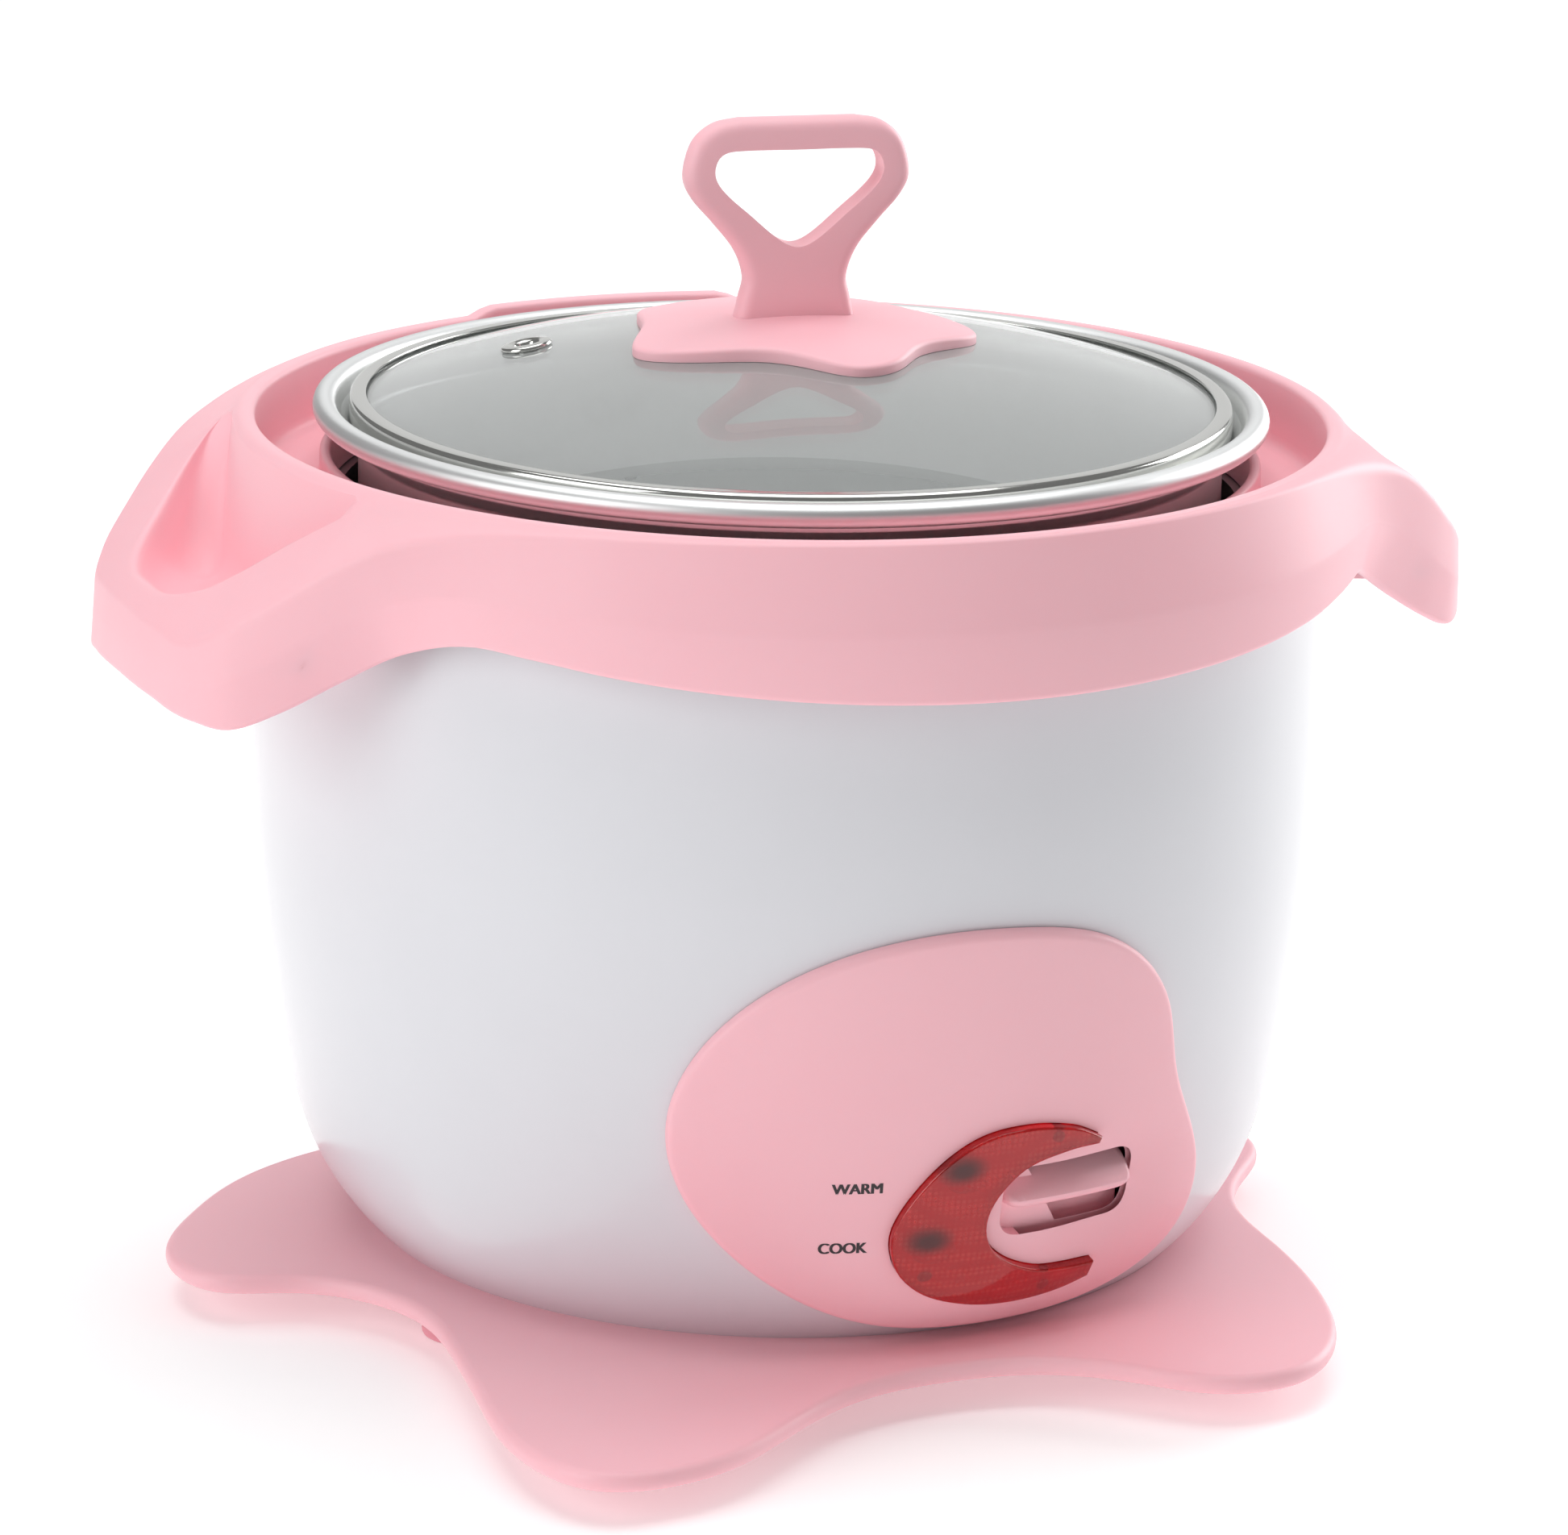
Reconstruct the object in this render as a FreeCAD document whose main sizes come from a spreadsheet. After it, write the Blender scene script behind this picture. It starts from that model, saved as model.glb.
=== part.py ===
import FreeCAD, Part
import math
import os

import Sketcher
from FreeCAD import Placement, Rotation, Vector

# Rice cooker with a lift-out pot, a glass lid and a keep-warm switch.
# Millimetres. Origin on the body's axis at the underside of the feet, +Z up.
# The switch side faces -Y and the two finger wings of the collar lie along X.

doc = FreeCAD.newDocument("rice_cooker")

# ---------------------------------------------------------------- driving dimensions

DIMENSIONS = {
    # feet and base plate
    "foot_radius": 9.0, "foot_height": 7.5, "foot_circle": 92.0,
    "base_thick": 4.5, "base_round": 1.6,
    # outer body, a deep-drawn barrel
    "body_radius": 118.4, "body_wall": 0.8, "body_top": 174.6,
    "side_radius": 436.0, "side_top": 130.0, "knee_height": 42.0, "knee_radius": 57.8,
    # collar ring and tray
    "collar_wall": 2.6, "crest_height": 194.0, "crest_outer": 120.8, "crest_inner": 117.5,
    "tray_floor": 178.4, "lip_height": 185.5, "lip_inner": 101.0, "lip_outer": 103.5,
    "scoop_floor": 162.0, "scoop_inner": 122.0, "scoop_tip": 147.0, "scoop_half_width": 40.0,
    # inner liner
    "liner_radius": 99.8, "liner_wall": 0.8, "liner_floor": 56.0, "liner_mouth": 64.0,
    "liner_round": 20.0,
    # pot
    "pot_radius": 95.0, "pot_wall": 1.5, "pot_bottom": 76.3, "pot_round": 12.0,
    "pot_shoulder": 187.5, "pot_mouth": 100.2, "bead_radius": 2.6, "rim_radius": 105.0,
    "rim_height": 195.0,
    # lid
    "glass_radius": 94.5, "glass_thick": 4.0, "dome_radius": 296.0, "dome_top": 212.0,
    "band_radius": 97.0, "vent_circle": 58.5, "vent_radius": 3.0, "vent_flange": 5.85,
    "screw_radius": 2.0, "glass_hole": 2.2,
    # lid handle
    "handle_foot": 216.0, "handle_top": 259.5, "handle_thick": 7.0,
    # heater
    "plate_radius": 75.0, "plate_top": 76.0, "plate_bottom": 66.0,
    "element_circle": 55.0, "element_radius": 3.5,
    # thermostat
    "cup_radius": 15.0, "cup_flange": 18.0, "can_radius": 19.8, "can_bottom": 49.5,
    "rod_radius": 3.0, "rod_clearance": 0.05, "magnet_radius": 11.0,
    # switch
    "front_turn": 11.0, "pivot_reach": 56.0, "pivot_height": 44.0, "pin_radius": 1.5,
    "pin_clearance": 0.05, "slot_half_width": 18.0, "slot_low": 38.8, "slot_high": 56.4,
    "slot_round": 5.5, "panel_proud": 3.0, "lens_proud": 5.2, "seat_thick": 1.1, "skin_gap": 0.1,
    # power inlet
    "inlet_height": 40.0, "inlet_width": 30.0, "inlet_tall": 24.0,
}

sizes = doc.addObject("Spreadsheet::Sheet", "sizes")
for row, (alias, value) in enumerate(DIMENSIONS.items(), start=1):
    sizes.set(f"A{row}", alias.replace("_", " "))
    sizes.set(f"B{row}", str(value))
    sizes.setAlias(f"B{row}", alias)
doc.recompute()


def size(formula):
    """Value of a formula in the sheet's names."""
    return float(sizes.evalExpression(formula))


def bound(formula):
    """The same formula with every sheet name spelled in full."""
    words = "".join(c if c.isalnum() or c in "_." else f" {c} " for c in formula).split()
    return " ".join(f"sizes.{word}" if word in DIMENSIONS else word for word in words)


# ---------------------------------------------------------------- modelling helpers

parts = {}


def keep(label, thing, placement=None):
    """Register a finished sub-part under its node name."""
    thing.Label = label
    if placement is not None:
        thing.Placement = placement
    parts[label] = thing
    return thing


def body(label, placement=None):
    return keep(label, doc.addObject("PartDesign::Body", label + "_body"), placement)


def sketch(owner, role, name):
    """A sketch on one of the body's own origin planes."""
    plane = next(o for o in owner.Origin.OriginFeatures if o.Role == role)
    made = owner.newObject("Sketcher::SketchObject", name)
    made.AttachmentSupport = [(plane, "")]
    made.MapMode = "FlatFace"
    return made


def polygon(flat, corners):
    """Closed outline whose corners are (across, up) formulas bound to the sheet."""
    spots = [Vector(size(x), size(y), 0) for x, y in corners]
    first = flat.GeometryCount
    count = len(spots)
    for i, spot in enumerate(spots):
        flat.addGeometry(Part.LineSegment(spot, spots[(i + 1) % count]))
    for i in range(count):
        flat.addConstraint(Sketcher.Constraint("Coincident", first + i, 2, first + (i + 1) % count, 1))
    for i, (x, y) in enumerate(corners):
        for kind, formula in (("DistanceX", x), ("DistanceY", y)):
            value = size(formula)
            if abs(value) < 1e-9:
                axis = -2 if kind == "DistanceX" else -1
                flat.addConstraint(Sketcher.Constraint("PointOnObject", first + i, 1, axis))
                continue
            index = flat.addConstraint(Sketcher.Constraint(kind, -1, 1, first + i, 1, value))
            flat.setExpression(f"Constraints[{index}]", bound(formula))


def circle(flat, radius, x="0", y="0"):
    """Circle with its radius and centre bound to the sheet."""
    index = flat.addGeometry(Part.Circle(Vector(size(x), size(y), 0), Vector(0, 0, 1), size(radius)))
    rule = flat.addConstraint(Sketcher.Constraint("Radius", index, size(radius)))
    flat.setExpression(f"Constraints[{rule}]", bound(radius))
    for kind, formula, axis in (("DistanceX", x, -2), ("DistanceY", y, -1)):
        if abs(size(formula)) < 1e-9:
            flat.addConstraint(Sketcher.Constraint("PointOnObject", index, 3, axis))
        else:
            rule = flat.addConstraint(Sketcher.Constraint(kind, -1, 1, index, 3, size(formula)))
            flat.setExpression(f"Constraints[{rule}]", bound(formula))


def revolved(label, corners, placement=None):
    """Body turned about its own Z axis from a bound (radius, height) outline."""
    owner = body(label, placement)
    flat = sketch(owner, "XZ_Plane", label + "_section")
    polygon(flat, corners)
    turn = owner.newObject("PartDesign::Revolution", label + "_turn")
    turn.Profile = flat
    turn.ReferenceAxis = (flat, ["V_Axis"])
    turn.Angle = 360
    return owner


def pad(owner, flat, length, offset="0"):
    """Pad a sketch by a bound length, starting a bound offset off its plane."""
    made = owner.newObject("PartDesign::Pad", flat.Name + "_pad")
    made.Profile = flat
    made.setExpression("Length", bound(length))
    if offset != "0":
        flat.setExpression("AttachmentOffset.Base.z", bound(offset))
    return made


def bored(owner, flat):
    """Cut a sketch through the whole body, both ways."""
    made = owner.newObject("PartDesign::Pocket", flat.Name + "_cut")
    made.Profile = flat
    made.Type = "ThroughAll"
    made.SideType = "Symmetric"
    return made


def around(base, count, name):
    """Repeat a feature round the body's Z axis."""
    owner = base.getParentGeoFeatureGroup()
    made = owner.newObject("PartDesign::PolarPattern", name)
    made.Originals = [base]
    made.Axis = (next(o for o in owner.Origin.OriginFeatures if o.Role == "Z_Axis"), [""])
    made.Angle = 360
    made.Occurrences = count
    owner.Tip = made
    return made


def edges_where(shape, test):
    return [f"Edge{i}" for i, edge in enumerate(shape.Edges, start=1) if test(edge)]


def soften(owner, radius, test, name):
    """Round the edges of the body's tip that pass the test."""
    doc.recompute()
    tip = owner.Tip
    made = owner.newObject("PartDesign::Fillet", name)
    made.Base = (tip, edges_where(tip.Shape, test))
    made.Radius = radius
    return made


def cylinder(label, radius, length, placement):
    """Plain round bar, bound to the sheet."""
    made = doc.addObject("Part::Cylinder", label + "_bar")
    made.setExpression("Radius", bound(radius))
    made.setExpression("Height", bound(length))
    return keep(label, made, placement)


def solid(label, shape, placement=None):
    """Sub-part whose shape the code makes from the sheet's sizes."""
    made = doc.addObject("Part::Feature", label + "_solid")
    made.Shape = shape
    return keep(label, made, placement)


def polar(radius, degrees, height=0.0):
    angle = math.radians(degrees)
    return Vector(radius * math.cos(angle), radius * math.sin(angle), height)


def closed_curve(points):
    """Smooth closed edge through a few points."""
    curve = Part.BSplineCurve()
    curve.interpolate(points, PeriodicFlag=True)
    return curve


def at(x, y, z, axis=Vector(0, 0, 1), degrees=0.0):
    return Placement(Vector(x, y, z), Rotation(axis, degrees))


UP = Vector(0, 0, 1)
FRONT = at(0, 0, 0, UP, size("front_turn"))      # the switch faces a little to the right of -Y


# ---------------------------------------------------------------- barrel shape of the body

def barrel(offset, low, high):
    """Edges of the body's side, moved outward by offset, from height low to high."""
    big = size("side_radius")
    radius = size("body_radius")
    top = size("side_top")
    knee = math.asin((top - size("knee_height")) / big)
    small = size("knee_radius")
    big_x = radius - big
    knee_x = big_x + (big - small) * math.cos(knee)
    knee_z = top - (big - small) * math.sin(knee)
    end = math.asin((knee_z - low) / (small + offset))

    def on_big(angle):
        return Vector(big_x + (big + offset) * math.cos(angle), 0, top - (big + offset) * math.sin(angle))

    def on_small(angle):
        reach = small + offset
        return Vector(knee_x + reach * math.cos(angle), 0, knee_z - reach * math.sin(angle))

    return [
        Part.LineSegment(Vector(radius + offset, 0, high), on_big(0)),
        Part.Arc(on_big(0), on_big(knee / 2), on_big(knee)),
        Part.Arc(on_small(knee), on_small((knee + end) / 2), on_small(end)),
    ]


def barrel_solid(offset, low, high):
    """The body's outside as a full solid, for cutting and trimming."""
    side = [piece.toShape() for piece in barrel(offset, low, high)]
    start = side[0].Vertexes[0].Point
    end = side[-1].Vertexes[-1].Point
    top_axis = Vector(0, 0, high)
    low_axis = Vector(0, 0, end.z)
    rim = [Part.makeLine(end, low_axis), Part.makeLine(low_axis, top_axis), Part.makeLine(top_axis, start)]
    face = Part.Face(Part.Wire(side + rim))
    return face.revolve(Vector(0, 0, 0), UP, 360)


# ---------------------------------------------------------------- base plate and feet

# Splash-shaped plate: soft lobes with wide valleys between them, as polar points.
BASE_SPLASH = [(178, 142), (-176, 137.5), (-172, 121), (-165, 110.5), (-155, 111), (-147, 121),
               (-138, 142), (-131, 164), (-124, 175.5), (-117, 165), (-110, 138), (-102, 119),
               (-92, 113.5), (-83, 117), (-77, 128.5), (-72, 146), (-66, 153), (-59, 149.5),
               (-49, 135), (-36, 116), (-22, 105), (-11, 110), (-2, 119.5), (9, 117), (24, 107),
               (44, 126), (55, 149), (62, 163), (69, 157), (80, 130), (92, 116), (105, 126),
               (116, 121), (128, 107), (138, 103), (146, 110.7), (156, 123), (167, 134)]
FEET = [(-160, "left"), (-112, "front"), (-20, "right"), (72, "rear")]

base_top = size("foot_height + base_thick")
base = body("base_plate")
outline = sketch(base, "XY_Plane", "splash")
outline.addGeometry(closed_curve([polar(r, a) for a, r in BASE_SPLASH]))
pad(base, outline, "base_thick", "foot_height")
soften(base, size("base_round"), lambda e: e.BoundBox.ZLength < 0.01 and e.Length > 300, "splash_edge")
bores = sketch(base, "XY_Plane", "screw_holes")
circle(bores, "screw_radius + 0.2", "72")
bore = bored(base, bores)
around(bore, 4, "screw_hole_ring")

for angle, side in FEET:
    foot = body(f"foot_{side}", Placement(polar(size("foot_circle"), angle), Rotation()))
    round_foot = sketch(foot, "XY_Plane", f"foot_{side}_disc")
    circle(round_foot, "foot_radius")
    pad(foot, round_foot, "foot_height")
    soften(foot, 1.5, lambda e: e.BoundBox.ZMax < 0.01, f"foot_{side}_edge")


# ---------------------------------------------------------------- outer body

def outer_body():
    """Pressed steel barrel, open below, with a turned-in top flange and three windows."""
    wall = size("body_wall")
    top = size("body_top")
    skin = barrel_solid(0, base_top, top)
    hollow = barrel_solid(-wall, base_top - 2, top - wall)
    shell = skin.cut(hollow)
    throat = Part.makeCylinder(size("body_radius") - 6, 10, Vector(0, 0, top - 5))
    foot_hole = Part.makeCylinder(size("foot_circle"), 4, Vector(0, 0, base_top - 2))
    switch_window = Part.makeBox(62, 40, 46, Vector(-41, -130, 22))
    switch_window.Placement = FRONT
    high, wide = size("inlet_tall"), size("inlet_width")
    inlet_window = Part.makeBox(wide, 40, high, Vector(-wide / 2, 90, size("inlet_height") - high / 2))
    for tool in (throat, foot_hole, switch_window, inlet_window):
        shell = shell.cut(tool)
    return shell


solid("outer_body", outer_body())


# ---------------------------------------------------------------- collar

# Quarter plan of the collar from the wing's middle (0 deg) to the front (90 deg):
# angle, then radius and height of the upper crease, the side crease and the bottom edge.
COLLAR_RIBS = [
    (0, (152.5, 162.5), (153.8, 155), (154.6, 147.5)),
    (7, (152.7, 162.0), (153.8, 154.5), (154.6, 146.8)),
    (13.2, (152.6, 162.0), (153.0, 153.5), (153.2, 145.0)),
    (16.6, (150.0, 166.5), (150.2, 155.5), (149.2, 144.6)),
    (19.5, (146.5, 171.5), (145.6, 160.0), (143.0, 148.6)),
    (23, (142.2, 178.0), (140.0, 166.5), (134.8, 155.0)),
    (27, (137.4, 184.4), (134.2, 172.4), (129.0, 161.0)),
    (31.5, (131.8, 188.8), (130.4, 176.2), (127.2, 165.0)),
    (37, (127.2, 191.3), (128.8, 178.0), (127.6, 167.6)),
    (43, (124.6, 192.3), (128.2, 177.5), (127.9, 167.0)),
    (52, (123.0, 193.0), (128.0, 176.8), (128.2, 165.0)),
    (64, (122.2, 193.3), (128.0, 176.2), (128.4, 162.9)),
    (77, (121.9, 193.4), (128.0, 176.0), (128.5, 161.5)),
    (90, (121.9, 193.4), (128.0, 176.0), (128.5, 161.0)),
]


def collar_rib(degrees, upper, middle, low):
    """Closed section of the collar in the half-plane at one angle."""
    wall = size("collar_wall")
    under = size("tray_floor") - wall
    crest = size("crest_height")
    inner, outer = size("crest_inner"), size("crest_outer")
    lip_in, lip_out, lip = size("lip_inner"), size("lip_outer"), size("lip_height")
    corners = [
        (lip_in, under), (lip_in, lip), (lip_out, lip), (lip_out, size("tray_floor")),
        (inner, size("tray_floor")), (inner, crest - 0.8), (inner + 0.8, crest), (outer, crest),
        upper, middle, low,
        (low[0] - wall, low[1]), (middle[0] - wall, middle[1]), (upper[0] - wall - 0.4, upper[1] - 3.4),
        (inner + wall, crest - 3.6), (inner + wall, under),
    ]
    points = [polar(r, degrees, z) for r, z in corners]
    return Part.makePolygon(points + points[:1])


def full_circle_ribs():
    """The quarter's ribs mirrored into all four quarters, in order of angle."""
    ribs = {}
    for degrees, *creases in COLLAR_RIBS:
        for angle in (degrees, 180 - degrees, 180 + degrees, (360 - degrees) % 360):
            ribs[angle] = collar_rib(angle, *creases)
    return [ribs[angle] for angle in sorted(ribs)]


def scoop(grow, floor, roof):
    """Finger recess of the right wing, from floor to roof, its walls moved out by grow."""
    inner = size("scoop_inner") - grow
    half = math.degrees(math.asin(size("scoop_half_width") / size("scoop_inner")))
    start, middle, end = polar(inner, -half, floor), polar(inner, 0, floor), polar(inner, half, floor)
    reach = size("scoop_tip") + grow
    side = size("scoop_half_width")
    bulge = [end, Vector(131 + grow, side - 10 + grow, floor), Vector(140 + grow, side - 22, floor),
             Vector(reach, 8, floor), Vector(reach, -8, floor), Vector(140 + grow, 22 - side, floor),
             Vector(131 + grow, 10 - side - grow, floor), start]
    curve = Part.BSplineCurve()
    curve.interpolate(bulge)
    wire = Part.Wire([Part.Arc(start, middle, end).toShape(), curve.toShape()])
    return Part.Face(wire).extrude(Vector(0, 0, roof - floor))


def collar():
    """Moulded ring with two drooping finger wings, each holding a scooped pocket."""
    wall = size("collar_wall")
    floor = size("scoop_floor")
    ribs = full_circle_ribs()
    ring = Part.makeLoft(ribs, True, True, True)
    if ring.Volume < 0:
        ring.reverse()
    under_wing = Part.makeLoft(wing_cores(), True, True)
    half_turn = Rotation(UP, 180)
    for turn in (Rotation(), half_turn):
        cup = scoop(wall, floor - wall, 196).common(under_wing)
        cup.Placement = Placement(Vector(), turn)
        ring = ring.fuse(cup)
    for turn in (Rotation(), half_turn):
        hollow = scoop(0, floor, 200)
        hollow.Placement = Placement(Vector(), turn)
        ring = ring.cut(hollow)
    tab_low, tab_high = size("crest_height") - 1.5, size("crest_height") + 2.0
    tab = Part.makeCylinder(size("crest_outer") + 0.2, tab_high - tab_low, Vector(0, 0, tab_low), UP, 28)
    tab = tab.cut(Part.makeCylinder(size("crest_inner") + 0.4, 20, Vector(0, 0, tab_low - 5)))
    tab.Placement = at(0, 0, 0, UP, 76)
    return ring.fuse(tab).removeSplitter()


def wing_cores():
    """Closed sections of the space under a wing's top face, which bound its pocket."""
    inner = size("crest_inner") + 1.5
    crest = size("crest_height")
    half = COLLAR_RIBS[:9]
    cores = []
    for degrees, upper, middle, low in [(-rib[0], *rib[1:]) for rib in half[:0:-1]] + half:
        corners = [(inner, low[1]), (inner, crest - 1.8), (upper[0] - 1, upper[1] - 1.4),
                   (middle[0] - 1, middle[1]), (low[0] - 1, low[1])]
        points = [polar(r, degrees, z) for r, z in corners]
        cores.append(Part.makePolygon(points + points[:1]))
    return cores


solid("collar", collar())


# ---------------------------------------------------------------- inner liner

# Steel can that carries the heater: ring floor below, flange clamped under the collar above.
liner = revolved("inner_liner", [
    ("liner_mouth", "liner_floor"), ("liner_radius", "liner_floor"),
    ("liner_radius", "body_top + 0.2"), ("crest_inner - 1", "body_top + 0.2"),
    ("crest_inner - 1", "body_top + 1"), ("liner_radius - liner_wall", "body_top + 1"),
    ("liner_radius - liner_wall", "liner_floor + liner_wall"), ("liner_mouth", "liner_floor + liner_wall"),
])
soften(liner, size("liner_round"),
       lambda e: (abs(e.BoundBox.ZMax - size("liner_floor")) < 0.01
                  and e.BoundBox.XMax > size("liner_radius") - 0.1),
       "liner_outer_round")
soften(liner, size("liner_round - liner_wall"),
       lambda e: (abs(e.BoundBox.ZMax - size("liner_floor + liner_wall")) < 0.01
                  and e.BoundBox.XMax > size("liner_radius") - 1),
       "liner_inner_round")


# ---------------------------------------------------------------- inner pot

# Drawn aluminium pot: rounded bottom, stepped shoulder that carries the lid, rolled rim bead.
pot = revolved("inner_pot", [
    ("0", "pot_bottom"), ("pot_radius", "pot_bottom"), ("pot_radius", "pot_shoulder"),
    ("pot_mouth - 0.8", "pot_shoulder + 3.4"), ("pot_mouth", "pot_shoulder + 5.5"),
    ("pot_mouth + 0.6", "rim_height"), ("pot_mouth - 0.9", "rim_height"),
    ("pot_mouth - 1.5", "pot_shoulder + 5.8"), ("pot_mouth - 2.2", "pot_shoulder + 4.6"),
    ("pot_radius - pot_wall", "pot_shoulder + 1"), ("pot_radius - pot_wall", "pot_bottom + pot_wall"),
    ("0", "pot_bottom + pot_wall"),
])
bead = sketch(pot, "XZ_Plane", "rim_bead")
circle(bead, "bead_radius", "rim_radius - bead_radius", "rim_height")
bead_turn = pot.newObject("PartDesign::Revolution", "rim_bead_turn")
bead_turn.Profile = bead
bead_turn.ReferenceAxis = (bead, ["V_Axis"])
bead_turn.Angle = 360
foot_ring = size("pot_radius")
soften(pot, size("pot_round"),
       lambda e: abs(e.BoundBox.ZMax - size("pot_bottom")) < 0.01 and e.BoundBox.XMax > foot_ring - 1,
       "pot_outer_round")
soften(pot, size("pot_round - pot_wall"),
       lambda e: (abs(e.BoundBox.ZMax - size("pot_bottom + pot_wall")) < 0.01
                  and e.BoundBox.XMax > foot_ring - 3),
       "pot_inner_round")


# ---------------------------------------------------------------- lid

VENT_ANGLE = 154.0
HANDLE_TURN = -7.5
dome_centre = size("dome_top - dome_radius")
tilt = math.degrees(math.asin(size("vent_circle / dome_radius")))
vent_normal = Rotation(UP, VENT_ANGLE).multiply(Rotation(Vector(0, 1, 0), tilt))


def primitive(kind, name, placement, **formulas):
    """Part primitive bound to the sheet."""
    made = doc.addObject("Part::" + kind, name)
    for prop, formula in formulas.items():
        made.setExpression(prop, bound(formula))
    made.Placement = placement
    return made


def combine(kind, name, first, second):
    made = doc.addObject("Part::" + kind, name)
    made.Base = first
    made.Tool = second
    return made


# Tempered glass dome with a centre hole for the handle screw and a vent hole.
dome_spot = at(0, 0, dome_centre)
dome = combine("Cut", "dome_shell",
               primitive("Sphere", "dome_outside", dome_spot, Radius="dome_radius"),
               primitive("Sphere", "dome_inside", dome_spot, Radius="dome_radius - glass_thick"))
disc = combine("Common", "dome_disc", dome,
               primitive("Cylinder", "glass_edge", at(0, 0, 150), Radius="glass_radius", Height="100"))
drilled = combine("Cut", "glass_drilled", disc,
                  primitive("Cylinder", "glass_centre_hole", at(0, 0, 190), Radius="glass_hole", Height="40"))
vent_tool = primitive("Cylinder", "glass_vent_hole",
                      Placement(Vector(0, 0, dome_centre), vent_normal), Radius="vent_radius",
                      Height="dome_radius + 10")
keep("lid_glass", combine("Cut", "glass_finished", drilled, vent_tool))

# Folded steel channel round the glass edge.
band_low = "dome_top - 20.4"
band_high = "dome_top - 14"
revolved("lid_rim_band", [
    ("glass_radius - 2", band_low), ("band_radius", band_low), ("band_radius", band_high),
    ("glass_radius - 2", band_high), ("glass_radius - 2", band_high + " - 0.6"),
    ("band_radius - 0.6", band_high + " - 0.6"), ("band_radius - 0.6", band_low + " + 0.6"),
    ("glass_radius - 2", band_low + " + 0.6"),
])

# Rolled eyelet through the vent hole, square to the glass.
vent_spot = vent_normal.multVec(Vector(0, 0, size("dome_radius"))) + Vector(0, 0, dome_centre)
revolved("vent_eyelet", [
    ("vent_radius - 0.8", "0 - glass_thick - 0.9"), ("vent_flange - 0.8", "0 - glass_thick - 0.9"),
    ("vent_flange - 0.8", "0 - glass_thick - 0.1"), ("vent_radius - 0.05", "0 - glass_thick - 0.1"),
    ("vent_radius - 0.05", "0.1"), ("vent_flange", "0.1"), ("vent_flange", "0.9"),
    ("vent_flange - 1.2", "1.3"), ("vent_radius - 0.8", "1.3"),
], Placement(vent_spot, vent_normal))

# Splash-shaped handle plate: soft lobes, domed top, hollowed below to the glass.
PLATE_SPLASH = [(125, 40), (158, 33), (190, 39.5), (216, 32), (234, 28.5), (252, 31), (270, 38.5),
                (284, 37.5), (304, 32.5), (325, 35), (342, 40.5), (4, 37), (22, 34), (52, 40), (86, 34)]
plate_top_radius = 184.0


def handle_plate():
    outline = Part.Face(Part.Wire([closed_curve([polar(r, a, 200) for a, r in PLATE_SPLASH]).toShape()]))
    slab = outline.extrude(Vector(0, 0, 30))
    top = Part.makeSphere(plate_top_radius, Vector(0, 0, size("handle_foot") - plate_top_radius))
    glass = Part.makeSphere(size("dome_radius") + 0.1, Vector(0, 0, dome_centre))
    plate = slab.common(top).cut(glass)
    plate = plate.cut(Part.makeCylinder(size("glass_hole"), 40, Vector(0, 0, 195)))
    rim = [e for e in plate.Edges if e.Length > 150 and e.BoundBox.ZMin > size("dome_top") - 1.2]
    return plate.makeFillet(0.9, rim) if rim else plate


solid("lid_handle_plate", handle_plate())


def handle_loop():
    """Rounded triangle loop on a flared stem, cut from one thick moulding."""
    foot, top = size("handle_foot"), size("handle_top")
    thick = size("handle_thick")
    flank = [(13.6, foot - 3), (12.4, foot + 4), (11.6, foot + 8.5), (13.8, foot + 14.5), (18.6, foot + 20.5),
             (23.4, foot + 26), (25.3, foot + 31), (23.4, top - 5.2), (18.8, top - 1.2), (13, top)]
    edges = []
    for side in (1, -1):
        curve = Part.BSplineCurve()
        spots = [Vector(side * x, 0, z) for x, z in flank]
        curve.interpolate(spots, InitialTangent=Vector(-0.1 * side, 0, 1), FinalTangent=Vector(-side, 0, 0))
        edges.append(curve.toShape())
    edges += [Part.makeLine(Vector(s * 13, 0, top), Vector(0, 0, top)) for s in (1, -1)]
    edges += [Part.makeLine(Vector(s * 13.6, 0, foot - 3), Vector(0, 0, foot - 3)) for s in (1, -1)]
    blank = Part.Face(Part.Wire(Part.__sortEdges__(edges)))
    under = top - 6.8
    inside = [(0, foot + 15.2), (5.2, foot + 17.6), (11, foot + 22.6), (16.8, foot + 27.8),
              (18.9, foot + 31.6), (17.6, under - 1.1), (13.2, under), (0, under)]
    loop_points = [Vector(x, 0, z) for x, z in inside] + [Vector(-x, 0, z) for x, z in inside[-2:0:-1]]
    window = Part.Face(Part.Wire([closed_curve(loop_points).toShape()]))
    blank = blank.cut(window).extrude(Vector(0, thick, 0))
    blank.translate(Vector(0, -thick / 2, 0))
    seams = [e for e in blank.Edges if e.BoundBox.YLength < 0.01 and e.BoundBox.ZMax > foot - 2]
    loop = blank.makeFillet(2.2, seams)
    loop = loop.cut(Part.makeSphere(plate_top_radius + 0.05, Vector(0, 0, foot - plate_top_radius)))
    return loop.cut(Part.makeCylinder(size("screw_radius"), 20, Vector(0, 0, foot - 10)))


solid("lid_handle_loop", handle_loop(), at(0, 0, 0, UP, HANDLE_TURN))

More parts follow.
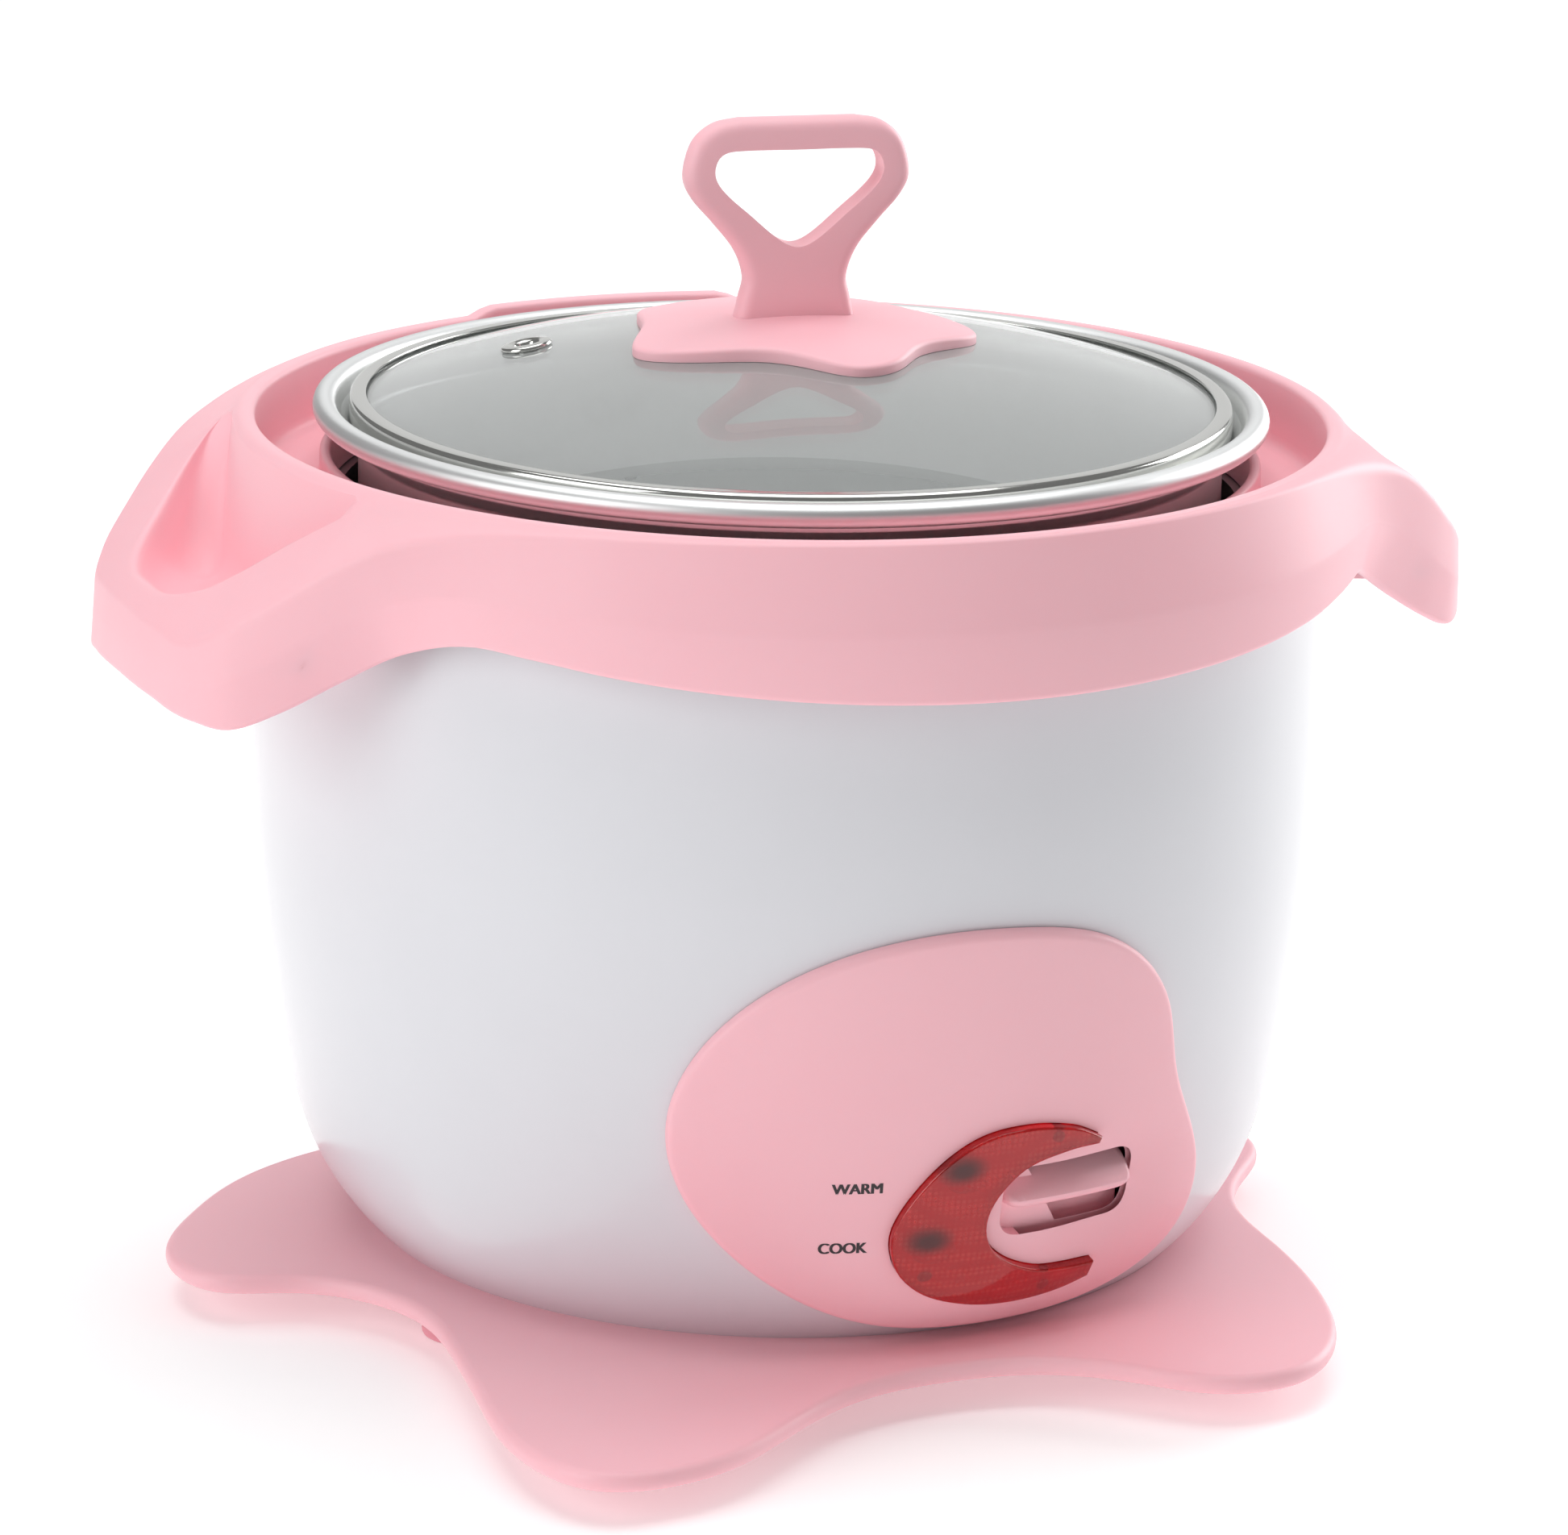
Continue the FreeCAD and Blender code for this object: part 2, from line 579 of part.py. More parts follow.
# Clamping stack under the glass: seal, washer and pan-head screw up into the handle's stem.
under_glass = "dome_top - glass_thick"
revolved("lid_gasket", [("glass_hole", under_glass + " - 1.1"), ("8", under_glass + " - 1.1"),
                        ("8", under_glass + " - 0.2"), ("glass_hole", under_glass + " - 0.2")])
revolved("lid_washer", [("glass_hole", under_glass + " - 2.1"), ("9", under_glass + " - 2.1"),
                        ("9", under_glass + " - 1.1"), ("glass_hole", under_glass + " - 1.1")])
revolved("lid_screw", [("0", under_glass + " - 4.5"), ("3", under_glass + " - 4.5"),
                       ("4.2", under_glass + " - 3.6"), ("4.2", under_glass + " - 2.1"),
                       ("screw_radius", under_glass + " - 2.1"), ("screw_radius", "handle_foot + 9"),
                       ("0", "handle_foot + 10")])


# ---------------------------------------------------------------- heater

heater = revolved("heating_plate", [
    ("cup_radius + 1.3", "plate_top"), ("plate_radius - 2", "plate_top"), ("plate_radius", "plate_top - 2"),
    ("plate_radius", "plate_bottom"), ("element_circle + 6", "plate_bottom"),
    ("element_circle + 5", "plate_bottom - 5.5"), ("element_circle - 5", "plate_bottom - 5.5"),
    ("element_circle - 6", "plate_bottom"), ("cup_radius + 1.3", "plate_bottom"),
])
channel = sketch(heater, "XZ_Plane", "element_channel")
circle(channel, "element_radius", "element_circle", "plate_bottom - element_radius")
groove = heater.newObject("PartDesign::Groove", "element_groove")
groove.Profile = channel
groove.ReferenceAxis = (channel, ["V_Axis"])
groove.Angle = 360

ELEMENT_SWEEP = 320.0
element = body("heating_element", at(0, 0, 0, UP, 110))
tube = sketch(element, "XZ_Plane", "element_tube")
circle(tube, "element_radius", "element_circle", "plate_bottom - element_radius")
tube_turn = element.newObject("PartDesign::Revolution", "element_turn")
tube_turn.Profile = tube
tube_turn.ReferenceAxis = (tube, ["V_Axis"])
tube_turn.Angle = ELEMENT_SWEEP
# The sketch's axis points up, so a positive angle runs counter-clockwise seen from above.

TERMINAL_ANGLES = (106.2, 73.8)
for number, angle in enumerate(TERMINAL_ANGLES, start=1):
    revolved(f"heater_terminal_{number}", [
        ("0", "plate_bottom - 20"), ("1.5", "plate_bottom - 20"), ("1.5", "plate_bottom - 14"),
        ("3.4", "plate_bottom - 14"), ("3.4", "plate_bottom - element_radius - 2"),
        ("0", "plate_bottom - element_radius - 2"),
    ], Placement(polar(size("element_circle"), angle), Rotation()))

LEG_ANGLES = (60, 180, 300)
for number, angle in enumerate(LEG_ANGLES, start=1):
    foot_spot = polar(70, angle, size("liner_floor + liner_wall"))
    cylinder(f"heater_leg_{number}", "3.5", "plate_bottom - liner_floor - liner_wall",
             Placement(foot_spot, Rotation()))
heads = [Part.makeCylinder(3.2, 2, polar(70, a, size("liner_floor") - 2)) for a in LEG_ANGLES]
solid("leg_screws", Part.makeCompound(heads))


# ---------------------------------------------------------------- thermostat

revolved("thermostat_can", [
    ("rod_radius + rod_clearance", "can_bottom"), ("can_radius", "can_bottom"),
    ("can_radius", "plate_bottom - 1"), ("can_radius + 6", "plate_bottom - 1"),
    ("can_radius + 6", "plate_bottom"), ("can_radius - 0.8", "plate_bottom"),
    ("can_radius - 0.8", "can_bottom + 1"), ("rod_radius + rod_clearance", "can_bottom + 1"),
])
revolved("sensor_cup", [
    ("0", "plate_top"), ("cup_radius", "plate_top"), ("cup_radius", "plate_bottom - 4.8"),
    ("cup_flange", "plate_bottom - 4.8"), ("cup_flange", "plate_bottom - 6"),
    ("cup_radius - 1", "plate_bottom - 6"), ("cup_radius - 1", "plate_top - 1.2"), ("0", "plate_top - 1.2"),
])
cylinder("sensor_ferrite", "magnet_radius - 1", "8.2", at(0, 0, size("plate_top") - 9.5))
revolved("magnet_carrier", [
    ("0", "can_bottom - 9.2"), ("8", "can_bottom - 9.2"), ("8", "can_bottom - 7.5"),
    ("rod_radius", "can_bottom - 7.5"), ("rod_radius", "can_bottom + 2.5"),
    ("magnet_radius", "can_bottom + 2.5"), ("magnet_radius", "can_bottom + 7.5"),
    ("magnet_radius - 1", "can_bottom + 7.5"), ("magnet_radius - 1", "can_bottom + 3.3"),
    ("0", "can_bottom + 3.3"),
])
cylinder("pull_magnet", "magnet_radius - 1", "5.2", at(0, 0, size("can_bottom") + 3.3))


def coil_spring(radius, wire, low, high, turns):
    pitch = (high - low - 2 * wire) / turns
    helix = Part.makeHelix(pitch, pitch * turns, radius)
    ring = Part.Wire([Part.makeCircle(wire, Vector(radius, 0, 0), Vector(0, 1, 0))])
    spring = Part.Wire(helix).makePipeShell([ring], True, True)
    spring.translate(Vector(0, 0, low + wire))
    return spring


solid("sensor_spring", coil_spring(16.6, 0.6, size("can_bottom") + 1.05, size("plate_bottom") - 6.05, 4))


# ---------------------------------------------------------------- switch

# The lever turns 6 degrees about its pin, from WARM at rest down to COOK.
FAR_FRONT = -140.0           # plane in front of the body that front-view outlines are drawn on
reach = size("pivot_reach")
pivot_z = size("pivot_height")


def extruded(points, half_width, offset=0.0):
    """Plate of a (front-to-back, height) outline, extruded sideways about the switch's middle."""
    spots = [Vector(offset - half_width, y, z) for y, z in points]
    return Part.Face(Part.makePolygon(spots + spots[:1])).extrude(Vector(2 * half_width, 0, 0))


def rounded_window(half, low, high, corner):
    """Upright rectangle with rounded corners, square to -Y and drawn well in front of the body."""
    edges = []
    middle = (low + high) / 2
    diagonal = corner * (1 - math.sqrt(0.5))
    for side in (1, -1):
        for end in (low, high):
            inward = 1 if end < middle else -1
            entry = Vector(side * half, FAR_FRONT, end + inward * corner)
            leave = Vector(side * (half - corner), FAR_FRONT, end)
            bend = Vector(side * (half - diagonal), FAR_FRONT, end + inward * diagonal)
            edges.append(Part.Arc(entry, bend, leave).toShape())
            if inward > 0:
                edges.append(Part.makeLine(entry, Vector(side * half, FAR_FRONT, high - corner)))
    for end in (low, high):
        edges.append(Part.makeLine(Vector(corner - half, FAR_FRONT, end),
                                   Vector(half - corner, FAR_FRONT, end)))
    return Part.Face(Part.Wire(Part.__sortEdges__(edges)))


def switch_lever():
    """Plastic rocker: thumb nose, curved shutter behind the slot, two webs and a hub."""
    drum = 49.0
    half = size("slot_half_width") - 0.6
    across = Vector(1, 0, 0)
    shutter = Part.makeCylinder(drum, 2 * half, Vector(-half, -reach, pivot_z), across)
    shutter = shutter.cut(Part.makeCylinder(drum - 2.5, 2 * half, Vector(-half, -reach, pivot_z), across))
    shutter = shutter.common(Part.makeBox(2 * half, 40, 28, Vector(-half, -130, 35.5)))
    nose = extruded([(-103.4, 55.2), (-107.5, 54.6), (-115.4, 48.2), (-115.4, 46.6), (-103.4, 45.0)], half)
    nose = nose.common(Part.makeCylinder(115.3, 60, Vector(0, 0, 20)))
    nose = nose.common(rounded_window(half, 44.9, 55.2, size("slot_round - 0.7")).extrude(Vector(0, 60, 0)))
    webs = [extruded([(-103.2, 52), (-103.2, 40), (-60, 40.5), (-60, 47.5)], 1.25, x) for x in (-10.5, 10.5)]
    hub = Part.makeCylinder(5, 24, Vector(-12, -reach, pivot_z), across)
    bore_radius = size("pin_radius + pin_clearance")
    lever = shutter.fuse([nose, hub] + webs)
    bore = Part.makeCylinder(bore_radius, 60, Vector(-30, -reach, pivot_z), across)
    return lever.cut(bore).removeSplitter()


solid("switch_lever", switch_lever(), FRONT)

arm_low = pivot_z - 6.6
arm = extruded([(-64, arm_low), (9, arm_low), (9, arm_low + 1.5), (-64, arm_low + 1.5)], 5)
arm = arm.fuse(Part.makeCylinder(3, 1.1, Vector(0, 0, arm_low + 1.5)))
solid("switch_arm", arm.removeSplitter(), FRONT)

solid("arm_screws", Part.makeCompound([Part.makeCylinder(2, 1.4, Vector(x, -60.5, arm_low - 1.4))
                                       for x in (-2.6, 2.6)]), FRONT)


def pivot_bracket():
    """Folded steel bracket under the liner's floor: two cheeks and a top flange."""
    floor = size("liner_floor")
    pin = Part.makeCylinder(size("pin_radius"), 60, Vector(-30, -reach, pivot_z), Vector(1, 0, 0))
    bolt = Part.makeCylinder(1.2, 60, Vector(-30, -41, 51), Vector(1, 0, 0))
    side = [(-84, floor), (-84, floor - 6), (-60, pivot_z - 6), (-36, pivot_z), (-36, floor)]
    cheeks = [extruded(side, 0.6, x) for x in (-15.6, 15.6)]
    flange = Part.makeBox(32.4, 16, 1.2, Vector(-16.2, -84, floor - 1.2))
    return flange.fuse(cheeks).cut(pin).cut(bolt).removeSplitter()


solid("pivot_bracket", pivot_bracket(), FRONT)
sideways = Rotation(Vector(0, 1, 0), 90)
cylinder("pivot_pin", "pin_radius", "35",
         FRONT.multiply(Placement(Vector(-17.5, -reach, pivot_z), sideways)))

switch_case = Part.makeBox(20, 12, 8, Vector(-10, -47, 45.5))
switch_case = switch_case.cut(Part.makeCylinder(1.3, 4, Vector(0, -40, 45.5)))
switch_case = switch_case.cut(Part.makeCylinder(1.2, 60, Vector(-30, -41, 51), Vector(1, 0, 0)))
solid("micro_switch", switch_case, FRONT)
cylinder("micro_switch_button", "1.25", "7.6", FRONT.multiply(at(0, -40, arm_low + 1.8)))
cylinder("micro_switch_bolt", "1.2", "35", FRONT.multiply(Placement(Vector(-17.5, -41, 51), sideways)))


# ---------------------------------------------------------------- control panel and lens

# Front view outlines, as (across, up) seen from -Y; the panel follows the barrel's surface.
PANEL_BLOB = [(8, 109), (31, 102.5), (44.5, 87), (48.6, 71), (54.5, 58), (59.5, 43.5), (56, 29.5),
              (40, 19.3), (14, 15.8), (-18, 18.3), (-44, 31), (-62, 51.5), (-65.5, 68), (-56, 90),
              (-35, 104.4), (-12, 109.3)]


def prism(face):
    """Front-view outline carried back through the barrel's front wall."""
    return face.extrude(Vector(0, 60, 0))


# The lens's two sides, as (distance round the barrel from the switch's middle, height).
CRESCENT_BACK = [(4.8, 60.4), (-2.0, 63.6), (-12.0, 65.3), (-22.0, 64.2), (-30.0, 59.5), (-37.0, 51.5),
                 (-41.0, 43.0), (-40.5, 36.0), (-37.0, 30.5), (-30.5, 26.0), (-20.0, 22.8), (-9.4, 21.8),
                 (1.2, 22.5), (10.0, 24.6)]
CRESCENT_FRONT = [(10.4, 27.6), (1.6, 28.3), (-6.3, 29.2), (-14.3, 33.0), (-19.2, 38.0), (-20.5, 44.1),
                  (-18.2, 50.6), (-12.3, 56.2), (-3.0, 58.6), (4.2, 58.9)]
WRAP_RADIUS = 112.0


def crescent_face():
    """Front view of the crescent lens, square to the switch's middle."""
    sides = []
    for points in (CRESCENT_BACK, CRESCENT_FRONT):
        curve = Part.BSplineCurve()
        curve.interpolate([Vector(WRAP_RADIUS * math.sin(s / WRAP_RADIUS), FAR_FRONT, z) for s, z in points])
        sides.append(curve)
    back, front = sides
    tips = [Part.makeLine(back.EndPoint, front.StartPoint), Part.makeLine(front.EndPoint, back.StartPoint)]
    return Part.Face(Part.Wire([back.toShape(), tips[0], front.toShape(), tips[1]]))


skin_low = base_top - 3
skin_high = 150.0
over_body = barrel_solid(size("skin_gap"), skin_low, skin_high)
over_seat = barrel_solid(size("skin_gap + seat_thick"), skin_low, skin_high)
over_lens_foot = barrel_solid(size("skin_gap + seat_thick + 0.05"), skin_low, skin_high)


def placed(shape, placement):
    moved = shape.copy()
    moved.Placement = placement
    return moved


def rods(radius, spots):
    """Round bars square to the switch's middle, for pegs and their holes."""
    return [placed(Part.makeCylinder(radius, 40, Vector(x, -90, z), Vector(0, -1, 0)), FRONT)
            for x, z in spots]


PEG_SPOTS = [(-5.5, 61.3), (-31.0, 31.5), (-2.0, 25.3)]
LAMPS = {"warm_lamp": (-25.0, 54.0), "cook_lamp": (-29.5, 38.5)}

# The cover keeps a thin seat under the lens, drilled for the lens's pegs and for the two lamps.
crescent = placed(prism(crescent_face()), FRONT)
slot_window = rounded_window(size("slot_half_width"), size("slot_low"), size("slot_high"), size("slot_round"))
slot = placed(prism(slot_window), FRONT)
blob = prism(Part.Face(Part.Wire([closed_curve([Vector(x, FAR_FRONT, z) for x, z in PANEL_BLOB]).toShape()])))
cover = barrel_solid(size("panel_proud"), skin_low, skin_high).common(blob).cut(over_body).cut(slot)
outside_rim = [e for e in cover.Edges if e.Length > 100 and e.BoundBox.ZLength > 20][:2]
cover = cover.makeFillet(1.6, outside_rim)
recess = crescent.cut(over_seat)
solid("control_panel", cover.cut(recess).cut(rods(1.3, PEG_SPOTS) + rods(3.3, LAMPS.values())))

lens = barrel_solid(size("lens_proud"), skin_low, skin_high).common(crescent).cut(over_lens_foot)
peg_depth = barrel_solid(size("panel_proud") - 0.4, skin_low, skin_high).cut(over_body)
pegs = [rod.common(peg_depth) for rod in rods(1.2, PEG_SPOTS)]
solid("indicator_lens", lens.cut(pegs))
solid("lens_pegs", Part.makeCompound([peg.Solids[0] for peg in pegs]))

backwards = Rotation(Vector(1, 0, 0), 90)
for lamp, (x, z) in LAMPS.items():
    revolved(lamp, [("0", "0"), ("3", "0"), ("3", "9"), ("2", "12"), ("0", "12.6")],
             FRONT.multiply(Placement(Vector(x, -88, z), backwards)))
solid("lamp_board", Part.makeBox(22, 1.6, 27, Vector(-38, -88, 30)), FRONT)


# ---------------------------------------------------------------- power inlet and wiring

inlet_z = size("inlet_height")
wide, tall = size("inlet_width"), size("inlet_tall")
boss = Part.makeBox(wide + 7, 20, tall + 7, Vector(-wide / 2 - 3.5, 95, inlet_z - tall / 2 - 3.5))
boss = boss.makeFillet(4, [e for e in boss.Edges if e.BoundBox.YLength > 15])
boss = boss.cut(barrel_solid(0.1, base_top - 2, 150))
throat = Part.makeBox(wide - 0.4, 24, tall - 0.4, Vector(-wide / 2 + 0.2, 88, inlet_z - tall / 2 + 0.2))
cavity = Part.makeBox(24.4, 40, 16.6, Vector(-12.2, 91, inlet_z - 8.3))
socket = boss.fuse(throat).cut(cavity)
blades = [Part.makeBox(4, 22, 2, Vector(-2, 84, inlet_z + 2.5))]
blades += [Part.makeBox(2, 20, 4, Vector(x - 1, 84, inlet_z - 5)) for x in (-7, 7)]
solid("inlet_pins", Part.makeCompound(blades))
solid("power_inlet", socket.cut(blades))


def cable(points, radius):
    """Round lead along straight runs joined by arcs as large as the runs allow."""
    spots = [Vector(*p) for p in points]
    edges = []
    start = spots[0]
    for before, corner, after in zip(spots, spots[1:], spots[2:]):
        back = (before - corner).normalize()
        ahead = (after - corner).normalize()
        half_turn = (math.pi - back.getAngle(ahead)) / 2
        trim = 0.45 * min((corner - before).Length, (after - corner).Length)
        bend = trim / math.tan(half_turn)
        entry, leave = corner + back * trim, corner + ahead * trim
        to_centre = (back + ahead).normalize()
        crown = corner + to_centre * (bend / math.cos(half_turn) - bend)
        edges += [Part.makeLine(start, entry), Part.Arc(entry, crown, leave).toShape()]
        start = leave
    edges.append(Part.makeLine(start, spots[-1]))
    path = Part.Wire(edges)
    ring = Part.Wire([Part.makeCircle(radius, spots[0], (spots[1] - spots[0]))])
    return path.makePipeShell([ring], True, False)


first_terminal = polar(size("element_circle"), TERMINAL_ANGLES[0])
second_terminal = polar(size("element_circle"), TERMINAL_ANGLES[1])
LEADS = {
    "lead_live": [(-7, 83.9, 37), (-7, 70, 37), (first_terminal.x, first_terminal.y, 30),
                  (first_terminal.x, first_terminal.y, 46)],
    "lead_neutral": [(7, 83.9, 37), (7, 72, 37), (30, 44, 27), (32, 8, 27), (20, -18, 38), (10, -32.5, 49.5)],
    "lead_earth": [(0, 83.9, 43.5), (0, 76, 43.5), (4, 70, 48), (4, 70, 55.9)],
}
for name, route in LEADS.items():
    solid(name, cable(route, 1.2))

cylinder("thermal_fuse", "2.2", "14", Placement(Vector(34, 30, 63.4), Rotation(Vector(1, 0, 0), 90)))


# ---------------------------------------------------------------- screws of the casing

foot_top = size("foot_height")
base_screws = [Part.makeCylinder(3.4, 1.8, polar(72, a, foot_top - 1.8)).fuse(
    Part.makeCylinder(size("screw_radius"), 12, polar(72, a, foot_top - 1)))
    for a in (0, 90, 180, 270)]
solid("base_screws", Part.makeCompound(base_screws))


# ---------------------------------------------------------------- checks and files

doc.recompute()
for thing in doc.Objects:
    if "Invalid" in thing.State or "Error" in thing.State:
        raise RuntimeError(f"{thing.Label} failed: {thing.State}")
for label, thing in parts.items():
    if thing.Shape.isNull() or not thing.Shape.isValid() or not thing.Shape.Solids:
        raise RuntimeError(f"{label} has no valid shape")

os.makedirs("parts", exist_ok=True)
for label, thing in parts.items():
    thing.Shape.exportStep(f"parts/{label}.step")
    print(f"{label}: {len(thing.Shape.Solids)} solid, {thing.Shape.Volume:.0f} mm3")
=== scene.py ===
import math

import bmesh
import bpy
import numpy as np
from mathutils import Matrix, Vector


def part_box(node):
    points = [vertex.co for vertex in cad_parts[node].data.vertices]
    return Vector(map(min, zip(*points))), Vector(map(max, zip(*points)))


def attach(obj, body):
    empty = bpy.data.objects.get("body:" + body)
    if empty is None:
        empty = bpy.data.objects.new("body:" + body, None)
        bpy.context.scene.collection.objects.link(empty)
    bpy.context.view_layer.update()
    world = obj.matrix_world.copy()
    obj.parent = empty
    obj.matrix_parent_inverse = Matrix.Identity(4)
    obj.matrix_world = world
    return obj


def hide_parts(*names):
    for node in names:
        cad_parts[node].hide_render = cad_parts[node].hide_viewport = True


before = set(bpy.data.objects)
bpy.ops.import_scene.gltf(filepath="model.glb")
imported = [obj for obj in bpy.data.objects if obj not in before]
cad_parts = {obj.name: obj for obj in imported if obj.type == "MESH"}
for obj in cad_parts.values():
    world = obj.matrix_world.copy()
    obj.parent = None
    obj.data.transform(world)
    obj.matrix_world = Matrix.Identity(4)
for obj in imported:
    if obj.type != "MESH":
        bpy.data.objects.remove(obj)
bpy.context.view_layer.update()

# ------------------------------------------------------------------ studio
# A white sweep, lit a little from below like a light table, with soft lights on each side, behind and above.
# The camera stands a little over one metre away, looks down at the lid and leans very slightly.

scene = bpy.context.scene
scene.view_settings.view_transform = "Standard"


def linear(hexcode):
    """Linear RGBA of an sRGB hex colour."""
    channels = [int(hexcode[i:i + 2], 16) / 255 for i in (1, 3, 5)]
    return [c / 12.92 if c <= 0.04045 else ((c + 0.055) / 1.055) ** 2.4 for c in channels] + [1.0]


def add_node(tree, kind, settings=None, links=None):
    """One shader node with its sockets or properties set and its inputs linked."""
    node = tree.nodes.new(kind)
    for name, value in (settings or {}).items():
        if name in node.inputs:
            node.inputs[name].default_value = value
        else:
            setattr(node, name, value)
    for name, source in (links or {}).items():
        tree.links.new(source, node.inputs[name])
    return node


sky = bpy.data.worlds.new("studio_air")
sky.use_nodes = True
sky.node_tree.nodes["Background"].inputs["Color"].default_value = linear("#FFFFFF")
sky.node_tree.nodes["Background"].inputs["Strength"].default_value = 0.22
scene.world = sky

bm = bmesh.new()
bmesh.ops.create_grid(bm, x_segments=1, y_segments=1, size=9.0)
floor_mesh = bpy.data.meshes.new("sweep")
bm.to_mesh(floor_mesh)
bm.free()
sweep = bpy.data.objects.new("sweep", floor_mesh)
scene.collection.objects.link(sweep)
paper = bpy.data.materials.new("white_paper_sweep")
paper.use_nodes = True
paper.node_tree.nodes["Principled BSDF"].inputs["Base Color"].default_value = linear("#F6F6F6")
paper.node_tree.nodes["Principled BSDF"].inputs["Roughness"].default_value = 0.9
paper.node_tree.nodes["Principled BSDF"].inputs["Emission Color"].default_value = linear("#FFFFFF")
paper.node_tree.nodes["Principled BSDF"].inputs["Emission Strength"].default_value = 0.24
floor_mesh.materials.append(paper)

AIM = Vector((0, 0, 0.12))
for name, spot, width, power in (("left_softbox", (-2.2, -0.45, 0.9), 1.5, 20.0),
                                 ("right_softbox", (2.0, 0.6, 0.7), 1.3, 28.0),
                                 ("rear_softbox", (1.0, 2.4, 1.1), 2.6, 12.0),
                                 ("overhead_softbox", (0.0, 0.1, 2.3), 2.2, 37.0)):
    lamp = bpy.data.lights.new(name, "AREA")
    lamp.shape = "SQUARE"
    lamp.size = width
    lamp.energy = power
    holder = bpy.data.objects.new(name, lamp)
    holder.location = spot
    holder.rotation_euler = (AIM - Vector(spot)).to_track_quat("-Z", "Y").to_euler()
    scene.collection.objects.link(holder)

CAMERA_SIDE = math.radians(22.5)      # how far the switch side is turned from the camera
CAMERA_DOWN = 0.2762                  # downward look, in radians
CAMERA_LEAN = 0.0199
CAMERA_REACH, CAMERA_RISE = 1.400, 0.5092
eye = bpy.data.cameras.new("catalogue_camera")
eye.sensor_width = 36.0
eye.lens = 149.6
camera = bpy.data.objects.new("catalogue_camera", eye)
spot = Vector((-CAMERA_REACH * math.sin(CAMERA_SIDE), -CAMERA_REACH * math.cos(CAMERA_SIDE), CAMERA_RISE))
camera.matrix_world = (Matrix.Translation(spot) @ Matrix.Rotation(-CAMERA_SIDE, 4, "Z")
                       @ Matrix.Rotation(math.pi / 2 - CAMERA_DOWN, 4, "X")
                       @ Matrix.Rotation(CAMERA_LEAN, 4, "Z"))
scene.collection.objects.link(camera)
scene.camera = camera


# ------------------------------------------------------------------ base plate
# Splash-shaped foot plate in satin polypropylene, injection moulded in pink.
# Flat, 4.5 mm thick, with a rounded edge; four screws hold it under the barrel.

def new_material(name, settings):
    """A named material with its Principled shader, ready for its pattern."""
    material = bpy.data.materials.new(name)
    material.use_nodes = True
    tree = material.node_tree
    tree.nodes.clear()
    skin = add_node(tree, "ShaderNodeBsdfPrincipled", settings)
    add_node(tree, "ShaderNodeOutputMaterial", links={"Surface": skin.outputs[0]})
    return material, tree, skin


def surface_grain(tree, skin, grain_mm, depth_mm, rough=(0.4, 0.5)):
    """Fine uneven skin: a bump of the given grain and depth, and a roughness that drifts."""
    where = add_node(tree, "ShaderNodeTexCoord")
    fine = add_node(tree, "ShaderNodeTexNoise", {"Scale": 1000 / grain_mm, "Detail": 2.0},
                    {"Vector": where.outputs["Object"]})
    bump = add_node(tree, "ShaderNodeBump", {"Strength": 1.0, "Distance": depth_mm / 1000},
                    {"Height": fine.outputs[0]})
    tree.links.new(bump.outputs[0], skin.inputs["Normal"])
    slow = add_node(tree, "ShaderNodeTexNoise", {"Scale": 30.0, "Detail": 4.0},
                    {"Vector": where.outputs["Object"]})
    drift = add_node(tree, "ShaderNodeMapRange", {"To Min": rough[0], "To Max": rough[1]},
                     {"Value": slow.outputs[0]})
    tree.links.new(drift.outputs[0], skin.inputs["Roughness"])
    return slow


def two_tone(tree, skin, mask, first, second):
    """Base colour that drifts between two close shades."""
    mixed = add_node(tree, "ShaderNodeMix", {"data_type": "RGBA"}, {"Factor": mask.outputs[0]})
    mixed.inputs[6].default_value = linear(first)
    mixed.inputs[7].default_value = linear(second)
    tree.links.new(mixed.outputs[2], skin.inputs["Base Color"])


def pink_polypropylene(name, first, second):
    """Satin moulded polypropylene: soft broad sheen, faint spark-eroded grain, a little depth."""
    material, tree, skin = new_material(name, {
        "IOR": 1.49, "Subsurface Weight": 0.12, "Subsurface Radius": (1.0, 0.45, 0.4),
        "Subsurface Scale": 0.0025, "Specular IOR Level": 0.5})
    slow = surface_grain(tree, skin, 0.35, 0.006, (0.40, 0.50))
    two_tone(tree, skin, slow, first, second)
    return material


pink_plastic = pink_polypropylene("moulded_pink_polypropylene", "#FFC0CA", "#FFC6CF")


def closed_spline(points, count):
    """Evenly spaced points on the smooth closed curve through a few given ones."""
    p = np.array(points, float)
    n = len(p)
    gap = np.linalg.norm(np.roll(p, -1, 0) - p, axis=1)
    system = np.zeros((n, n))
    right = np.zeros((n, 2))
    for i in range(n):
        before, after = gap[i - 1], gap[i]
        system[i, i - 1] += after
        system[i, i] += 2 * (before + after)
        system[i, (i + 1) % n] += before
        right[i] = 3 * (after * (p[i] - p[i - 1]) / before + before * (p[(i + 1) % n] - p[i]) / after)
    slope = np.linalg.solve(system, right)
    dense = []
    for i in range(n):
        j = (i + 1) % n
        for t in np.linspace(0, 1, 40, endpoint=False):
            dense.append((2 * t**3 - 3 * t**2 + 1) * p[i] + (3 * t**2 - 2 * t**3) * p[j]
                         + gap[i] * ((t**3 - 2 * t**2 + t) * slope[i] + (t**3 - t**2) * slope[j]))
    dense = np.array(dense + dense[:1])
    along = np.concatenate([[0], np.cumsum(np.linalg.norm(np.diff(dense, axis=0), axis=1))])
    even = np.linspace(0, along[-1], count, endpoint=False)
    return np.stack([np.interp(even, along, dense[:, k]) for k in (0, 1)], axis=1)


